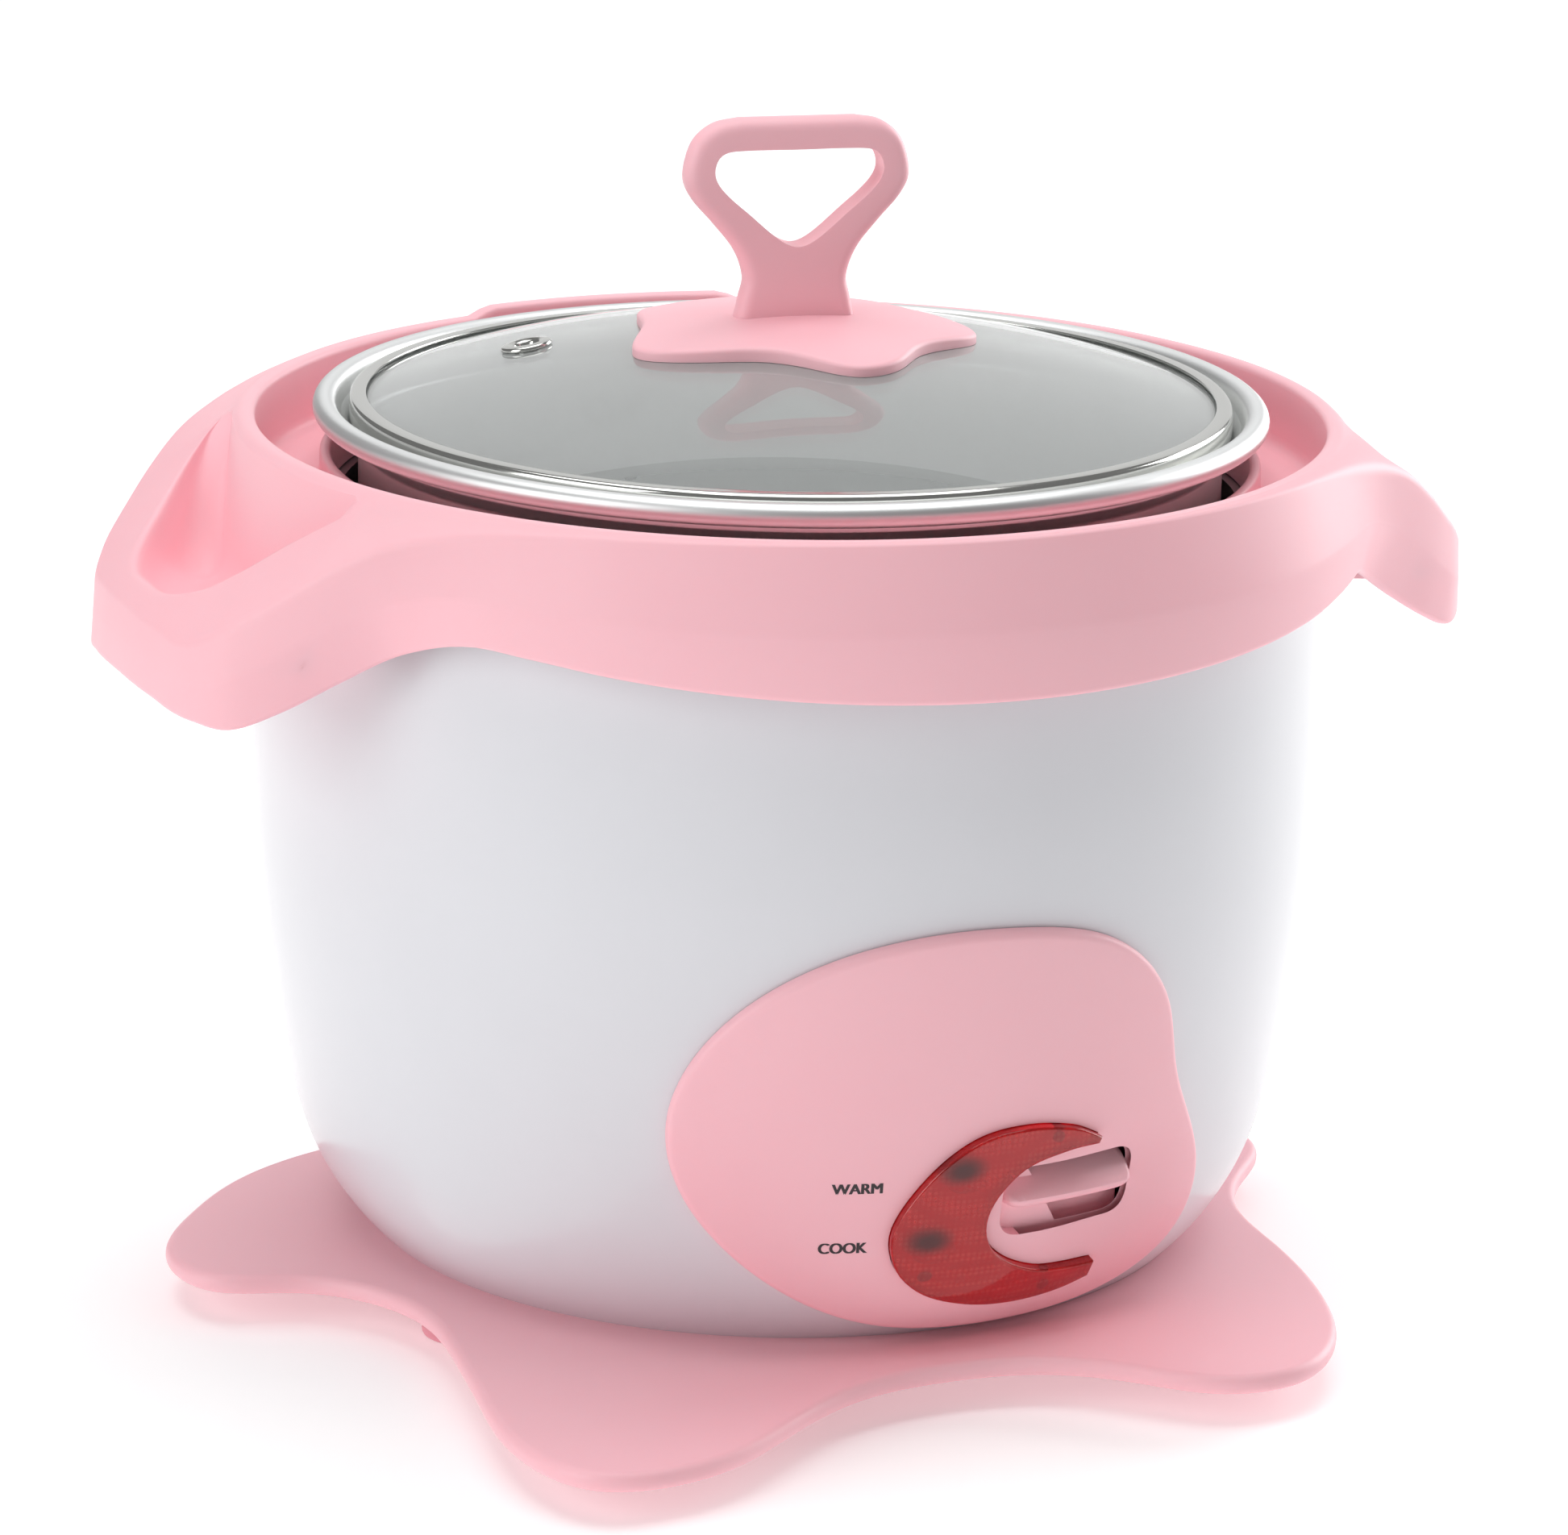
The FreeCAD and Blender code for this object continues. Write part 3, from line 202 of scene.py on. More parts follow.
def slab(outline, thick, edge, spacing=0, holes=(), lips=(), both_sides=False):
    """Flat moulding with a rounded top edge and square holes whose lips may be rounded a little.
    It is cut into cells of the given spacing, fine enough to be bent afterwards."""
    bm = bmesh.new()
    mark = bm.faces.layers.int.new("hole")
    rings = []
    for ring in [outline, *holes]:
        corners = [bm.verts.new((x, y, 0)) for x, y in ring]
        rings.append([bm.edges.new((a, b)) for a, b in zip(corners, corners[1:] + corners[:1])])
    bmesh.ops.triangle_fill(bm, edges=bm.edges[:], use_beauty=True, normal=(0, 0, 1))
    for number, ring in enumerate(rings[1:], start=1):
        plug = bmesh.ops.triangle_fill(bm, edges=ring, use_beauty=True, normal=(0, 0, 1))["geom"]
        for face in plug:
            if isinstance(face, bmesh.types.BMFace):
                face[mark] = number
    grown = bmesh.ops.extrude_face_region(bm, geom=bm.faces[:])["geom"]
    top = [f for f in grown if isinstance(f, bmesh.types.BMFace)]
    height = thick / 2 if both_sides else thick
    raised = {v for f in top for v in f.verts}
    for v in raised:
        v.co.z = height - edge
    done = 0.0
    for angle in np.linspace(0, math.pi / 2, 6)[1:]:
        inset = edge * (1 - math.cos(angle))
        bmesh.ops.inset_region(bm, faces=top, thickness=inset - done, use_even_offset=True, use_boundary=True)
        done = inset
        for v in {v for f in top for v in f.verts}:
            v.co.z = height - edge + edge * math.sin(angle)
    bmesh.ops.delete(bm, geom=[f for f in bm.faces if f[mark]], context="FACES")
    for ring, lip in zip(holes, list(lips) + [0] * len(holes)):
        x, y = np.array(ring).T
        inside = [e for e in bm.edges if e.is_boundary and all(
            x.min() - 0.01 < v.co.x < x.max() + 0.01
            and y.min() - 0.01 < v.co.y < y.max() + 0.01 for v in e.verts)]
        bmesh.ops.bridge_loops(bm, edges=inside)
        if lip:
            bmesh.ops.bevel(bm, geom=[e for e in inside if e.verts[0].co.z > thick / 2], offset=lip,
                            segments=4, affect="EDGES", profile=0.5, material=-1)
    if both_sides:
        under = [f for f in bm.faces if all(abs(v.co.z) < 1e-6 for v in f.verts)]
        bmesh.ops.delete(bm, geom=under, context="FACES")
        bmesh.ops.mirror(bm, geom=bm.verts[:] + bm.edges[:] + bm.faces[:], axis="Z", merge_dist=1e-4)
    bmesh.ops.recalc_face_normals(bm, faces=bm.faces)
    for axis in (0, 1) if spacing else ():
        low, high = (pick(v.co[axis] for v in bm.verts) for pick in (min, max))
        for place in np.arange(low + spacing / 2, high, spacing):
            spot, normal = [0, 0, 0], [0, 0, 0]
            spot[axis], normal[axis] = place, 1
            bmesh.ops.bisect_plane(bm, geom=bm.verts[:] + bm.edges[:] + bm.faces[:], dist=1e-5,
                                   plane_co=spot, plane_no=normal)
    return bm


def make_piece(bm, name, material, body, stands_for=(), sharp=38.0):
    """Turn a millimetre bmesh into a smooth-shaded piece of the object, in metres."""
    bmesh.ops.recalc_face_normals(bm, faces=bm.faces)
    if bm.calc_volume(signed=True) < 0:
        bmesh.ops.reverse_faces(bm, faces=bm.faces)
    bmesh.ops.scale(bm, vec=(0.001, 0.001, 0.001), verts=bm.verts)
    mesh = bpy.data.meshes.new(name)
    bm.to_mesh(mesh)
    bm.free()
    mesh.shade_smooth()
    mesh.set_sharp_from_angle(angle=math.radians(sharp))
    mesh.materials.append(material)
    piece = bpy.data.objects.new(name, mesh)
    scene.collection.objects.link(piece)
    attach(piece, body)
    if stands_for:
        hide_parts(*stands_for)
    return piece


def polar(radius, degrees):
    return radius * math.cos(math.radians(degrees)), radius * math.sin(math.radians(degrees))


BASE_SPLASH = [(178, 142), (-176, 137.5), (-172, 121), (-165, 110.5), (-155, 111), (-147, 121),
               (-138, 142), (-131, 164), (-124, 175.5), (-117, 165), (-110, 138), (-102, 119),
               (-92, 113.5), (-83, 117), (-77, 128.5), (-72, 146), (-66, 153), (-59, 149.5),
               (-49, 135), (-36, 116), (-22, 105), (-11, 110), (-2, 119.5), (9, 117), (24, 107),
               (44, 126), (55, 149), (62, 163), (69, 157), (80, 130), (92, 116), (105, 126),
               (116, 121), (128, 107), (138, 103), (146, 110.7), (156, 123), (167, 134)]
base_low, base_high = (corner.z * 1000 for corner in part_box("base_plate"))
splash = closed_spline([polar(r, a) for a, r in BASE_SPLASH], 420)
bm = slab(splash, base_high - base_low, 2.0, both_sides=True)
bmesh.ops.translate(bm, vec=(0, 0, (base_low + base_high) / 2), verts=bm.verts)
make_piece(bm, "foot_plate", pink_plastic, "root", ["base_plate"])


# ------------------------------------------------------------------ feet
# Four soft pink feet pushed up under the plate. They are turned shapes with a rounded tread.

def rounded(corners, samples=4):
    """Points of an outline whose corners, given as (across, up, radius), are rounded off."""
    outline = []
    count = len(corners)
    for i, (x, y, radius) in enumerate(corners):
        here = Vector((x, y))
        before = Vector(corners[i - 1][:2]) - here
        after = Vector(corners[(i + 1) % count][:2]) - here
        if radius <= 0:
            outline.append((x, y))
            continue
        if before.length < 1e-6 or after.length < 1e-6:
            outline += [(x, y)] * (samples + 1)
            continue
        half = before.angle(after, math.pi) / 2
        cut = min(radius / max(math.tan(half), 0.05), 0.48 * before.length, 0.48 * after.length)
        start, end = here + before.normalized() * cut, here + after.normalized() * cut
        for k in range(samples + 1):
            t = k / samples
            outline.append(tuple((1 - t) ** 2 * start + 2 * t * (1 - t) * here + t ** 2 * end))
    return outline


def turned(outline, steps=192):
    """Solid spun round the vertical axis from a closed (radius, height) outline."""
    bm = bmesh.new()
    ring = [bm.verts.new((r, 0, z)) for r, z in outline]
    sides = [bm.edges.new((a, b)) for a, b in zip(ring, ring[1:] + ring[:1])]
    bmesh.ops.spin(bm, geom=ring + sides, cent=(0, 0, 0), axis=(0, 0, 1), angle=math.tau, steps=steps,
                   use_merge=True)
    bmesh.ops.remove_doubles(bm, verts=bm.verts, dist=1e-4)
    loose = [f for f in bm.faces if f.calc_area() < 1e-9]
    bmesh.ops.delete(bm, geom=loose, context="FACES")
    bmesh.ops.recalc_face_normals(bm, faces=bm.faces)
    return bm


soft_pink = pink_polypropylene("soft_pink_foot_rubber", "#E59AA8", "#EAA3AF")
for foot in ("foot_left", "foot_front", "foot_right", "foot_rear"):
    low, high = (corner * 1000 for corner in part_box(foot))
    radius = (high.x - low.x) / 2
    bm = turned(rounded([(0, 0, 0), (radius, 0, 1.6), (radius, high.z, 0), (0, high.z, 0)]), 64)
    bmesh.ops.translate(bm, vec=((low.x + high.x) / 2, (low.y + high.y) / 2, 0), verts=bm.verts)
    make_piece(bm, foot + "_pad", soft_pink, "root", [foot])


# ------------------------------------------------------------------ barrel body
# Deep-drawn steel barrel, 0.8 mm thick, with glossy white baked enamel outside.
# Its side is a straight band, a long arc and a short arc that meet without a crease.

body_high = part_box("outer_body")[1] * 1000
BODY_RADIUS = body_high.x
SIDE_RADIUS, SIDE_TOP, KNEE_HEIGHT, KNEE_RADIUS = 436.0, 130.0, 42.0, 57.8
knee_angle = math.asin((SIDE_TOP - KNEE_HEIGHT) / SIDE_RADIUS)
knee_x = BODY_RADIUS - SIDE_RADIUS + (SIDE_RADIUS - KNEE_RADIUS) * math.cos(knee_angle)
knee_z = SIDE_TOP - (SIDE_RADIUS - KNEE_RADIUS) * math.sin(knee_angle)


def barrel(height, out=0.0):
    """Radius and height of the barrel's side at a height, moved out square to the side."""
    if height >= SIDE_TOP:
        return BODY_RADIUS + out, height
    if height >= KNEE_HEIGHT:
        lean = math.asin((SIDE_TOP - height) / SIDE_RADIUS)
        radius = BODY_RADIUS - SIDE_RADIUS + SIDE_RADIUS * math.cos(lean)
    else:
        lean = math.asin(min((knee_z - height) / KNEE_RADIUS, 1))
        radius = knee_x + KNEE_RADIUS * math.cos(lean)
    return radius + out * math.cos(lean), height - out * math.sin(lean)


WALL = 0.8
levels = list(np.linspace(body_high.z - 1.2, KNEE_HEIGHT, 22))
levels += list(np.linspace(KNEE_HEIGHT, base_high, 18))[1:]
outside = [barrel(z) for z in levels]
inside = [barrel(z, -WALL) for z in reversed(levels)]
lip = [(BODY_RADIUS - 6, body_high.z - WALL), (BODY_RADIUS - 6, body_high.z),
       (BODY_RADIUS - 1.2, body_high.z), (BODY_RADIUS - 0.35, body_high.z - 0.35)]
bm = turned(outside + inside + lip, 240)
SWITCH_TURN = math.radians(11.0)      # the switch sits a little to the right of the front
switch_window = (SWITCH_TURN, -40.0, 20.0, 22.0, 67.0)
inlet_window = (math.pi, -14.0, 14.0, 28.5, 51.5)
for turn, left, right, low, high in (switch_window, inlet_window):
    gone = []
    for face in bm.faces:
        spot = Matrix.Rotation(-turn, 3, "Z") @ face.calc_center_median()
        if low < spot.z < high and left < spot.x < right and spot.y < -60:
            gone.append(face)
    bmesh.ops.delete(bm, geom=gone, context="FACES")
    bmesh.ops.bridge_loops(bm, edges=[e for e in bm.edges if e.is_boundary])

white_enamel, tree, skin = new_material("baked_white_enamel", {
    "IOR": 1.5, "Coat Weight": 0.6, "Coat Roughness": 0.16, "Coat IOR": 1.5})
# Baked enamel is smooth and bright with a very faint orange peel a few millimetres wide.
slow = surface_grain(tree, skin, 3.0, 0.004, (0.26, 0.34))
two_tone(tree, skin, slow, "#DCDDE2", "#E0E1E6")
make_piece(bm, "barrel_shell", white_enamel, "root", ["outer_body"])


# ------------------------------------------------------------------ control panel
# Pink blob cover moulded to the barrel's curve, 3 mm proud, with a soft rolled edge.
# It has the thumb slot, a shallow dish round it, and a sunk seat with two lamp holes for the lens.

PANEL_PROUD = 3.0
UNROLL = 112.0                        # radius on which flat outlines are drawn before they are wrapped


def unroll(across, height, turn=0.0):
    """Flat place of a point seen from the front, on the barrel unrolled at UNROLL."""
    return UNROLL * (math.asin(across / (barrel(height)[0] + PANEL_PROUD)) + turn), height


def wrap(bm, inner, thick, dish=None):
    """Bend a flat moulding, drawn as (along, height, depth), on to the barrel."""
    for v in bm.verts:
        along, height, depth = v.co
        out = inner + depth
        if dish and depth > 0:
            out -= dish(along, height) * depth / thick
        radius, z = barrel(height, out)
        angle = along / UNROLL
        v.co = (radius * math.sin(angle), -radius * math.cos(angle), z)


PANEL_BLOB = [(8, 109), (31, 102.5), (44.5, 87), (48.6, 71), (54.5, 58), (59.5, 43.5), (56, 29.5),
              (40, 19.3), (14, 15.8), (-18, 18.3), (-44, 31), (-62, 51.5), (-65.5, 68), (-56, 90),
              (-35, 104.4), (-12, 109.3)]
# The lens's two sides, as (distance round the barrel from the switch's middle, height).
CRESCENT_BACK = [(4.8, 60.4), (-2.0, 63.6), (-12.0, 65.3), (-22.0, 64.2), (-30.0, 59.5), (-37.0, 51.5),
                 (-41.0, 43.5), (-40.5, 37.0), (-37.0, 31.8), (-30.5, 27.6), (-20.0, 24.7), (-9.4, 24.0),
                 (1.2, 24.9), (9.4, 26.9)]
CRESCENT_FRONT = [(9.6, 30.4), (1.6, 30.6), (-6.3, 31.4), (-14.3, 34.6), (-19.2, 39.0), (-20.5, 44.6),
                  (-18.2, 50.6), (-12.3, 56.2), (-3.0, 58.6), (4.2, 58.9)]


def open_spline(points, count):
    """Evenly spaced points on a smooth open curve through a few given ones."""
    p = np.array(points, float)
    padded = np.vstack([2 * p[0] - p[1], p, 2 * p[-1] - p[-2]])
    dense = []
    for a, b, c, d in zip(padded, padded[1:], padded[2:], padded[3:]):
        for t in np.linspace(0, 1, 30, endpoint=False):
            dense.append(0.5 * (2 * b + (c - a) * t + (2 * a - 5 * b + 4 * c - d) * t**2
                                + (3 * b - 3 * c + d - a) * t**3))
    dense = np.array(dense + [p[-1]])
    along = np.concatenate([[0], np.cumsum(np.linalg.norm(np.diff(dense, axis=0), axis=1))])
    even = np.linspace(0, along[-1], count)
    return np.stack([np.interp(even, along, dense[:, k]) for k in (0, 1)], axis=1)


def crescent(grow=0.0):
    """Outline of the lens, shrunk or grown about its own edge, on the unrolled barrel."""
    back, front = open_spline(CRESCENT_BACK, 64), open_spline(CRESCENT_FRONT, 44)
    ring = np.vstack([back, front])
    ahead, behind = np.roll(ring, -1, 0), np.roll(ring, 1, 0)
    along = (ahead - behind) / np.linalg.norm(ahead - behind, axis=1)[:, None]
    ring = ring + grow * np.stack([-along[:, 1], along[:, 0]], axis=1) * -1
    return [(x + UNROLL * SWITCH_TURN, z) for x, z in ring]


def thumb_slot(grow=0.0):
    """Rounded slot for the thumb lever on the unrolled barrel."""
    half, low, high = 17.0 + grow, 39.5 - grow, 55.4 + grow
    corners = [(-half, low, 5.5), (half, low, 5.5), (half, high, 5.5), (-half, high, 5.5)]
    return [unroll(x, z, SWITCH_TURN) for x, z in rounded(corners, 8)]


def dish(along, height):
    """Depth of the shallow hollow for the fingertip, right of the slot."""
    x = (along / UNROLL - SWITCH_TURN) * UNROLL
    far = math.hypot((x - 12) / 22, (height - 46) / 19)
    return 1.5 * (0.5 + 0.5 * math.cos(math.pi * min(far, 1)))


blob = [unroll(x, z) for x, z in closed_spline(PANEL_BLOB, 260)]
SEAT = 1.2
LAMP_SPOTS = [(-25.5, 54.0), (-30.5, 38.0)]
OVAL_HALF, OVAL_RISE = 4.6, 3.2
lamp_holes = []
for x, z in LAMP_SPOTS:
    oval = [(x + OVAL_HALF * math.cos(a), z + OVAL_RISE * math.sin(a))
            for a in np.linspace(0, math.tau, 28, endpoint=False)]
    lamp_holes.append([unroll(px, pz, SWITCH_TURN) for px, pz in oval])
bm = slab(blob, PANEL_PROUD - 0.15, 1.9, 4.0, [crescent(0.2), thumb_slot()], [0, 0.7])
wrap(bm, 0.15, PANEL_PROUD - 0.15, dish)
make_piece(bm, "panel_cover", pink_plastic, "root", ["control_panel"])

bm = slab(crescent(0.15), SEAT, 0.1, 4.0, lamp_holes)
wrap(bm, 0.12, SEAT)
make_piece(bm, "lens_seat", pink_plastic, "root")


# ------------------------------------------------------------------ lens
# Crescent lens in clear red polycarbonate, 2 mm proud of the cover, polished outside.
# Its back carries a fine prism grid, whose glints are painted into the colour as rows of small brighter dots;
# dark pegs hold it.

bm = slab(crescent(0.0), 3.6, 0.65, 3.0)
wrap(bm, SEAT + 0.3, 3.6)
red_lens, tree, skin = new_material("polished_red_polycarbonate", {
    "IOR": 1.58, "Roughness": 0.05, "Transmission Weight": 0.66})
where = add_node(tree, "ShaderNodeTexCoord")
# Painted highlight: the prism grid's glints show as small brighter dots in the lens colour.
grid = add_node(tree, "ShaderNodeTexVoronoi", {"Scale": 1000 / 1.3, "Randomness": 0.05},
                {"Vector": where.outputs["Object"]})
painted_glint_grid = add_node(tree, "ShaderNodeMapRange", {"From Min": 0.15, "From Max": 0.5},
                 {"Value": grid.outputs["Distance"]})
two_tone(tree, skin, painted_glint_grid, "#FF3836", "#E81018")
# Painted shade: the shaded lamp holes behind show through the prisms as two dark ovals with soft edges,
# painted into the lens colour.
clear = None
# Each oval of painted shade fades out towards its soft edge.
for x, z in LAMP_SPOTS:
    turn = unroll(x - 2.0, z, SWITCH_TURN)[0] / UNROLL
    reach, level = barrel(z + 3.0, SEAT + 1)
    squeeze = Vector((0.7, 0.7, 1.15))
    middle = Vector((reach * math.sin(turn), -reach * math.cos(turn), level)) * squeeze / 1000
    near = add_node(tree, "ShaderNodeMapping", {"Scale": squeeze, "Location": -middle},
                    {"Vector": where.outputs["Object"]})
    away = add_node(tree, "ShaderNodeVectorMath", {"operation": "LENGTH"}, {"Vector": near.outputs[0]})
    fade = add_node(tree, "ShaderNodeMapRange", {"From Min": 0.0024, "From Max": 0.0048},
                    {"Value": away.outputs["Value"]})
    if clear:
        fade = add_node(tree, "ShaderNodeMath", {"operation": "MULTIPLY"},
                        {0: fade.outputs[0], 1: clear.outputs[0]})
    clear = fade
lit_colour = skin.inputs["Base Color"].links[0].from_socket
shaded = add_node(tree, "ShaderNodeMix", {"data_type": "RGBA"}, {"Factor": clear.outputs[0]})
shaded.inputs[6].default_value = linear("#6A0F14")
tree.links.new(lit_colour, shaded.inputs[7])
tree.links.new(shaded.outputs[2], skin.inputs["Base Color"])
make_piece(bm, "crescent_lens", red_lens, "root", ["indicator_lens"])


# ------------------------------------------------------------------ thumb lever
# Pink rocker: a thumb nose with a sloped top and a curved shutter that closes the slot behind it.
# Both are one moulding with the hub and webs inside, which are out of sight and not drawn here.

PIVOT_REACH, PIVOT_HEIGHT, SHUTTER_RADIUS = 56.0, 44.0, 49.0
switch_axis = Matrix.Rotation(SWITCH_TURN, 4, "Z")
NOSE_LOW, NOSE_HIGH, NOSE_HALF = 45.3, 54.8, 16.4
nose_outline = rounded([(-NOSE_HALF, NOSE_LOW, 4.5), (NOSE_HALF, NOSE_LOW, 4.5),
                        (NOSE_HALF, NOSE_HIGH, 4.5), (-NOSE_HALF, NOSE_HIGH, 4.5)], 6)
bm = slab(nose_outline, 8.0, 1.6, 1.4)
for v in bm.verts:
    x, z, depth = v.co
    rise = (z - 47.4) / (NOSE_HIGH - 47.4)
    front = 115.0 - (7.0 * rise ** 1.15 if rise > 0 else 3.5 * (rise * 3) ** 2 * 0.3)
    sweep_back = x * x / (2 * 115.0)
    reach = 104.0 + (front - sweep_back - 104.0) * depth / 8.0
    v.co = (x, -reach, z)
bmesh.ops.recalc_face_normals(bm, faces=bm.faces)
bmesh.ops.transform(bm, matrix=switch_axis, verts=bm.verts)
make_piece(bm, "thumb_nose", pink_plastic, "switch", ["switch_lever"])

bm = bmesh.new()
bmesh.ops.create_grid(bm, x_segments=24, y_segments=24, size=1.0)
for v in bm.verts:
    angle = math.radians(v.co.y * 17.0 + 5.0)
    v.co = (v.co.x * 17.9, -PIVOT_REACH - SHUTTER_RADIUS * math.cos(angle),
            PIVOT_HEIGHT + SHUTTER_RADIUS * math.sin(angle))
bmesh.ops.recalc_face_normals(bm, faces=bm.faces)
bmesh.ops.solidify(bm, geom=bm.faces[:], thickness=2.2)
bmesh.ops.recalc_face_normals(bm, faces=bm.faces)
bmesh.ops.transform(bm, matrix=switch_axis, verts=bm.verts)
make_piece(bm, "slot_shutter", pink_plastic, "switch")


# ------------------------------------------------------------------ printed words
# Two small function words pad-printed in near-black ink left of the lens.
# The ink stands a few hundredths of a millimetre off the cover.

ink, tree, skin = new_material("pad_print_ink", {"IOR": 1.5})
slow = surface_grain(tree, skin, 0.3, 0.004, (0.42, 0.55))
two_tone(tree, skin, slow, "#2A2226", "#332A2E")


def lettering(word, height, bold=0.0):
    """Mesh of a word about its own centre, flat, with the given cap height in millimetres.
    A bold word is struck twice, a little apart."""
    curve = bpy.data.curves.new(word, "FONT")
    curve.body = word
    curve.align_x, curve.align_y = "CENTER", "CENTER"
    curve.size = height / 0.73
    curve.extrude = 0.02
    holder = bpy.data.objects.new(word, curve)
    scene.collection.objects.link(holder)
    bpy.context.view_layer.update()
    mesh = bpy.data.meshes.new_from_object(holder.evaluated_get(bpy.context.evaluated_depsgraph_get()))
    bpy.data.objects.remove(holder)
    bpy.data.curves.remove(curve)
    bm = bmesh.new()
    bm.from_mesh(mesh)
    bpy.data.meshes.remove(mesh)
    bmesh.ops.remove_doubles(bm, verts=bm.verts, dist=1e-5)
    if bold:
        first = bm.verts[:]
        strike = bmesh.ops.duplicate(bm, geom=bm.verts[:] + bm.edges[:] + bm.faces[:])["geom"]
        second = [v for v in strike if isinstance(v, bmesh.types.BMVert)]
        bmesh.ops.translate(bm, vec=(bold / 2, 0, 0.004), verts=second)
        bmesh.ops.translate(bm, vec=(-bold / 2, 0, 0), verts=first)
    return bm


for word, across, height in (("WARM", -48.2, 53.6), ("COOK", -49.4, 39.7)):
    bm = lettering(word, 2.5, 0.32)
    for v in bm.verts:
        along = UNROLL * (math.asin(across / (barrel(height)[0] + PANEL_PROUD)) + SWITCH_TURN) + v.co.x
        radius, z = barrel(height + v.co.y, PANEL_PROUD + 0.03 + v.co.z)
        v.co = (radius * math.sin(along / UNROLL), -radius * math.cos(along / UNROLL), z)
    make_piece(bm, word.lower() + "_word", ink, "root")


# ------------------------------------------------------------------ collar
# One pink moulding: raised ring, sunk tray with an upright lip round the pot, and two finger wings.
# The section changes as it goes round, so the ring is spun and every rib is then set by formula.

# Quarter plan from the wing's middle (0) to the front (90): angle, then the radius and height of
# the upper crease, the side crease and the bottom edge.
COLLAR_RIBS = [
    (0, 152.5, 162.5, 153.8, 155.0, 154.6, 147.5), (7, 152.7, 162.0, 153.8, 154.5, 154.6, 146.8),
    (13.2, 152.6, 162.0, 153.0, 153.5, 153.2, 145.0), (16.6, 150.0, 166.5, 150.2, 155.5, 149.2, 144.6),
    (19.5, 146.5, 171.5, 145.6, 160.0, 143.0, 148.6), (23, 142.2, 178.0, 140.0, 166.5, 134.8, 155.0),
    (27, 137.4, 184.4, 134.2, 172.4, 129.0, 161.0), (31.5, 131.8, 188.8, 130.4, 176.2, 127.2, 165.0),
    (37, 127.2, 191.3, 128.8, 178.0, 127.6, 167.6), (43, 124.6, 192.3, 128.2, 177.5, 127.9, 167.0),
    (52, 123.0, 193.0, 128.0, 176.8, 128.2, 165.0), (64, 122.2, 193.3, 128.0, 176.2, 128.4, 162.9),
    (77, 121.9, 193.4, 128.0, 176.0, 128.5, 161.5), (90, 121.9, 193.4, 128.0, 176.0, 128.5, 161.0)]
COLLAR_WALL, CREST, CREST_IN, CREST_OUT = 2.6, 194.0, 117.5, 120.8
TRAY, LIP_HIGH, LIP_IN, LIP_OUT = 178.4, 185.5, 101.0, 103.5
SCOOP_EDGE = [(0, 147.6), (4.5, 147.2), (9, 143.4), (12, 138.8), (15, 134.4), (18, 130.4), (20.2, 127.4),
              (21.6, 124.9)]
SCOOP_END, SCOOP_FLOOR, SCOOP_BACK = 21.6, 160.5, 122.4


def smooth_table(rows, place):
    """Smooth values between the rows of a table whose first column is the place."""
    table = np.array(rows, float)
    keys, values = table[:, 0], table[:, 1:]
    i = int(np.clip(np.searchsorted(keys, place) - 1, 0, len(keys) - 2))
    slopes = np.gradient(values, keys, axis=0)
    slopes[0] = 0
    slopes[-1] = 0
    gap = keys[i + 1] - keys[i]
    t = (place - keys[i]) / gap
    return ((2 * t**3 - 3 * t**2 + 1) * values[i] + (3 * t**2 - 2 * t**3) * values[i + 1]
            + gap * ((t**3 - 2 * t**2 + t) * slopes[i] + (t**3 - t**2) * slopes[i + 1]))


def ease(x):
    """Smooth step from 0 to 1."""
    x = min(max(x, 0.0), 1.0)
    return x * x * (3 - 2 * x)


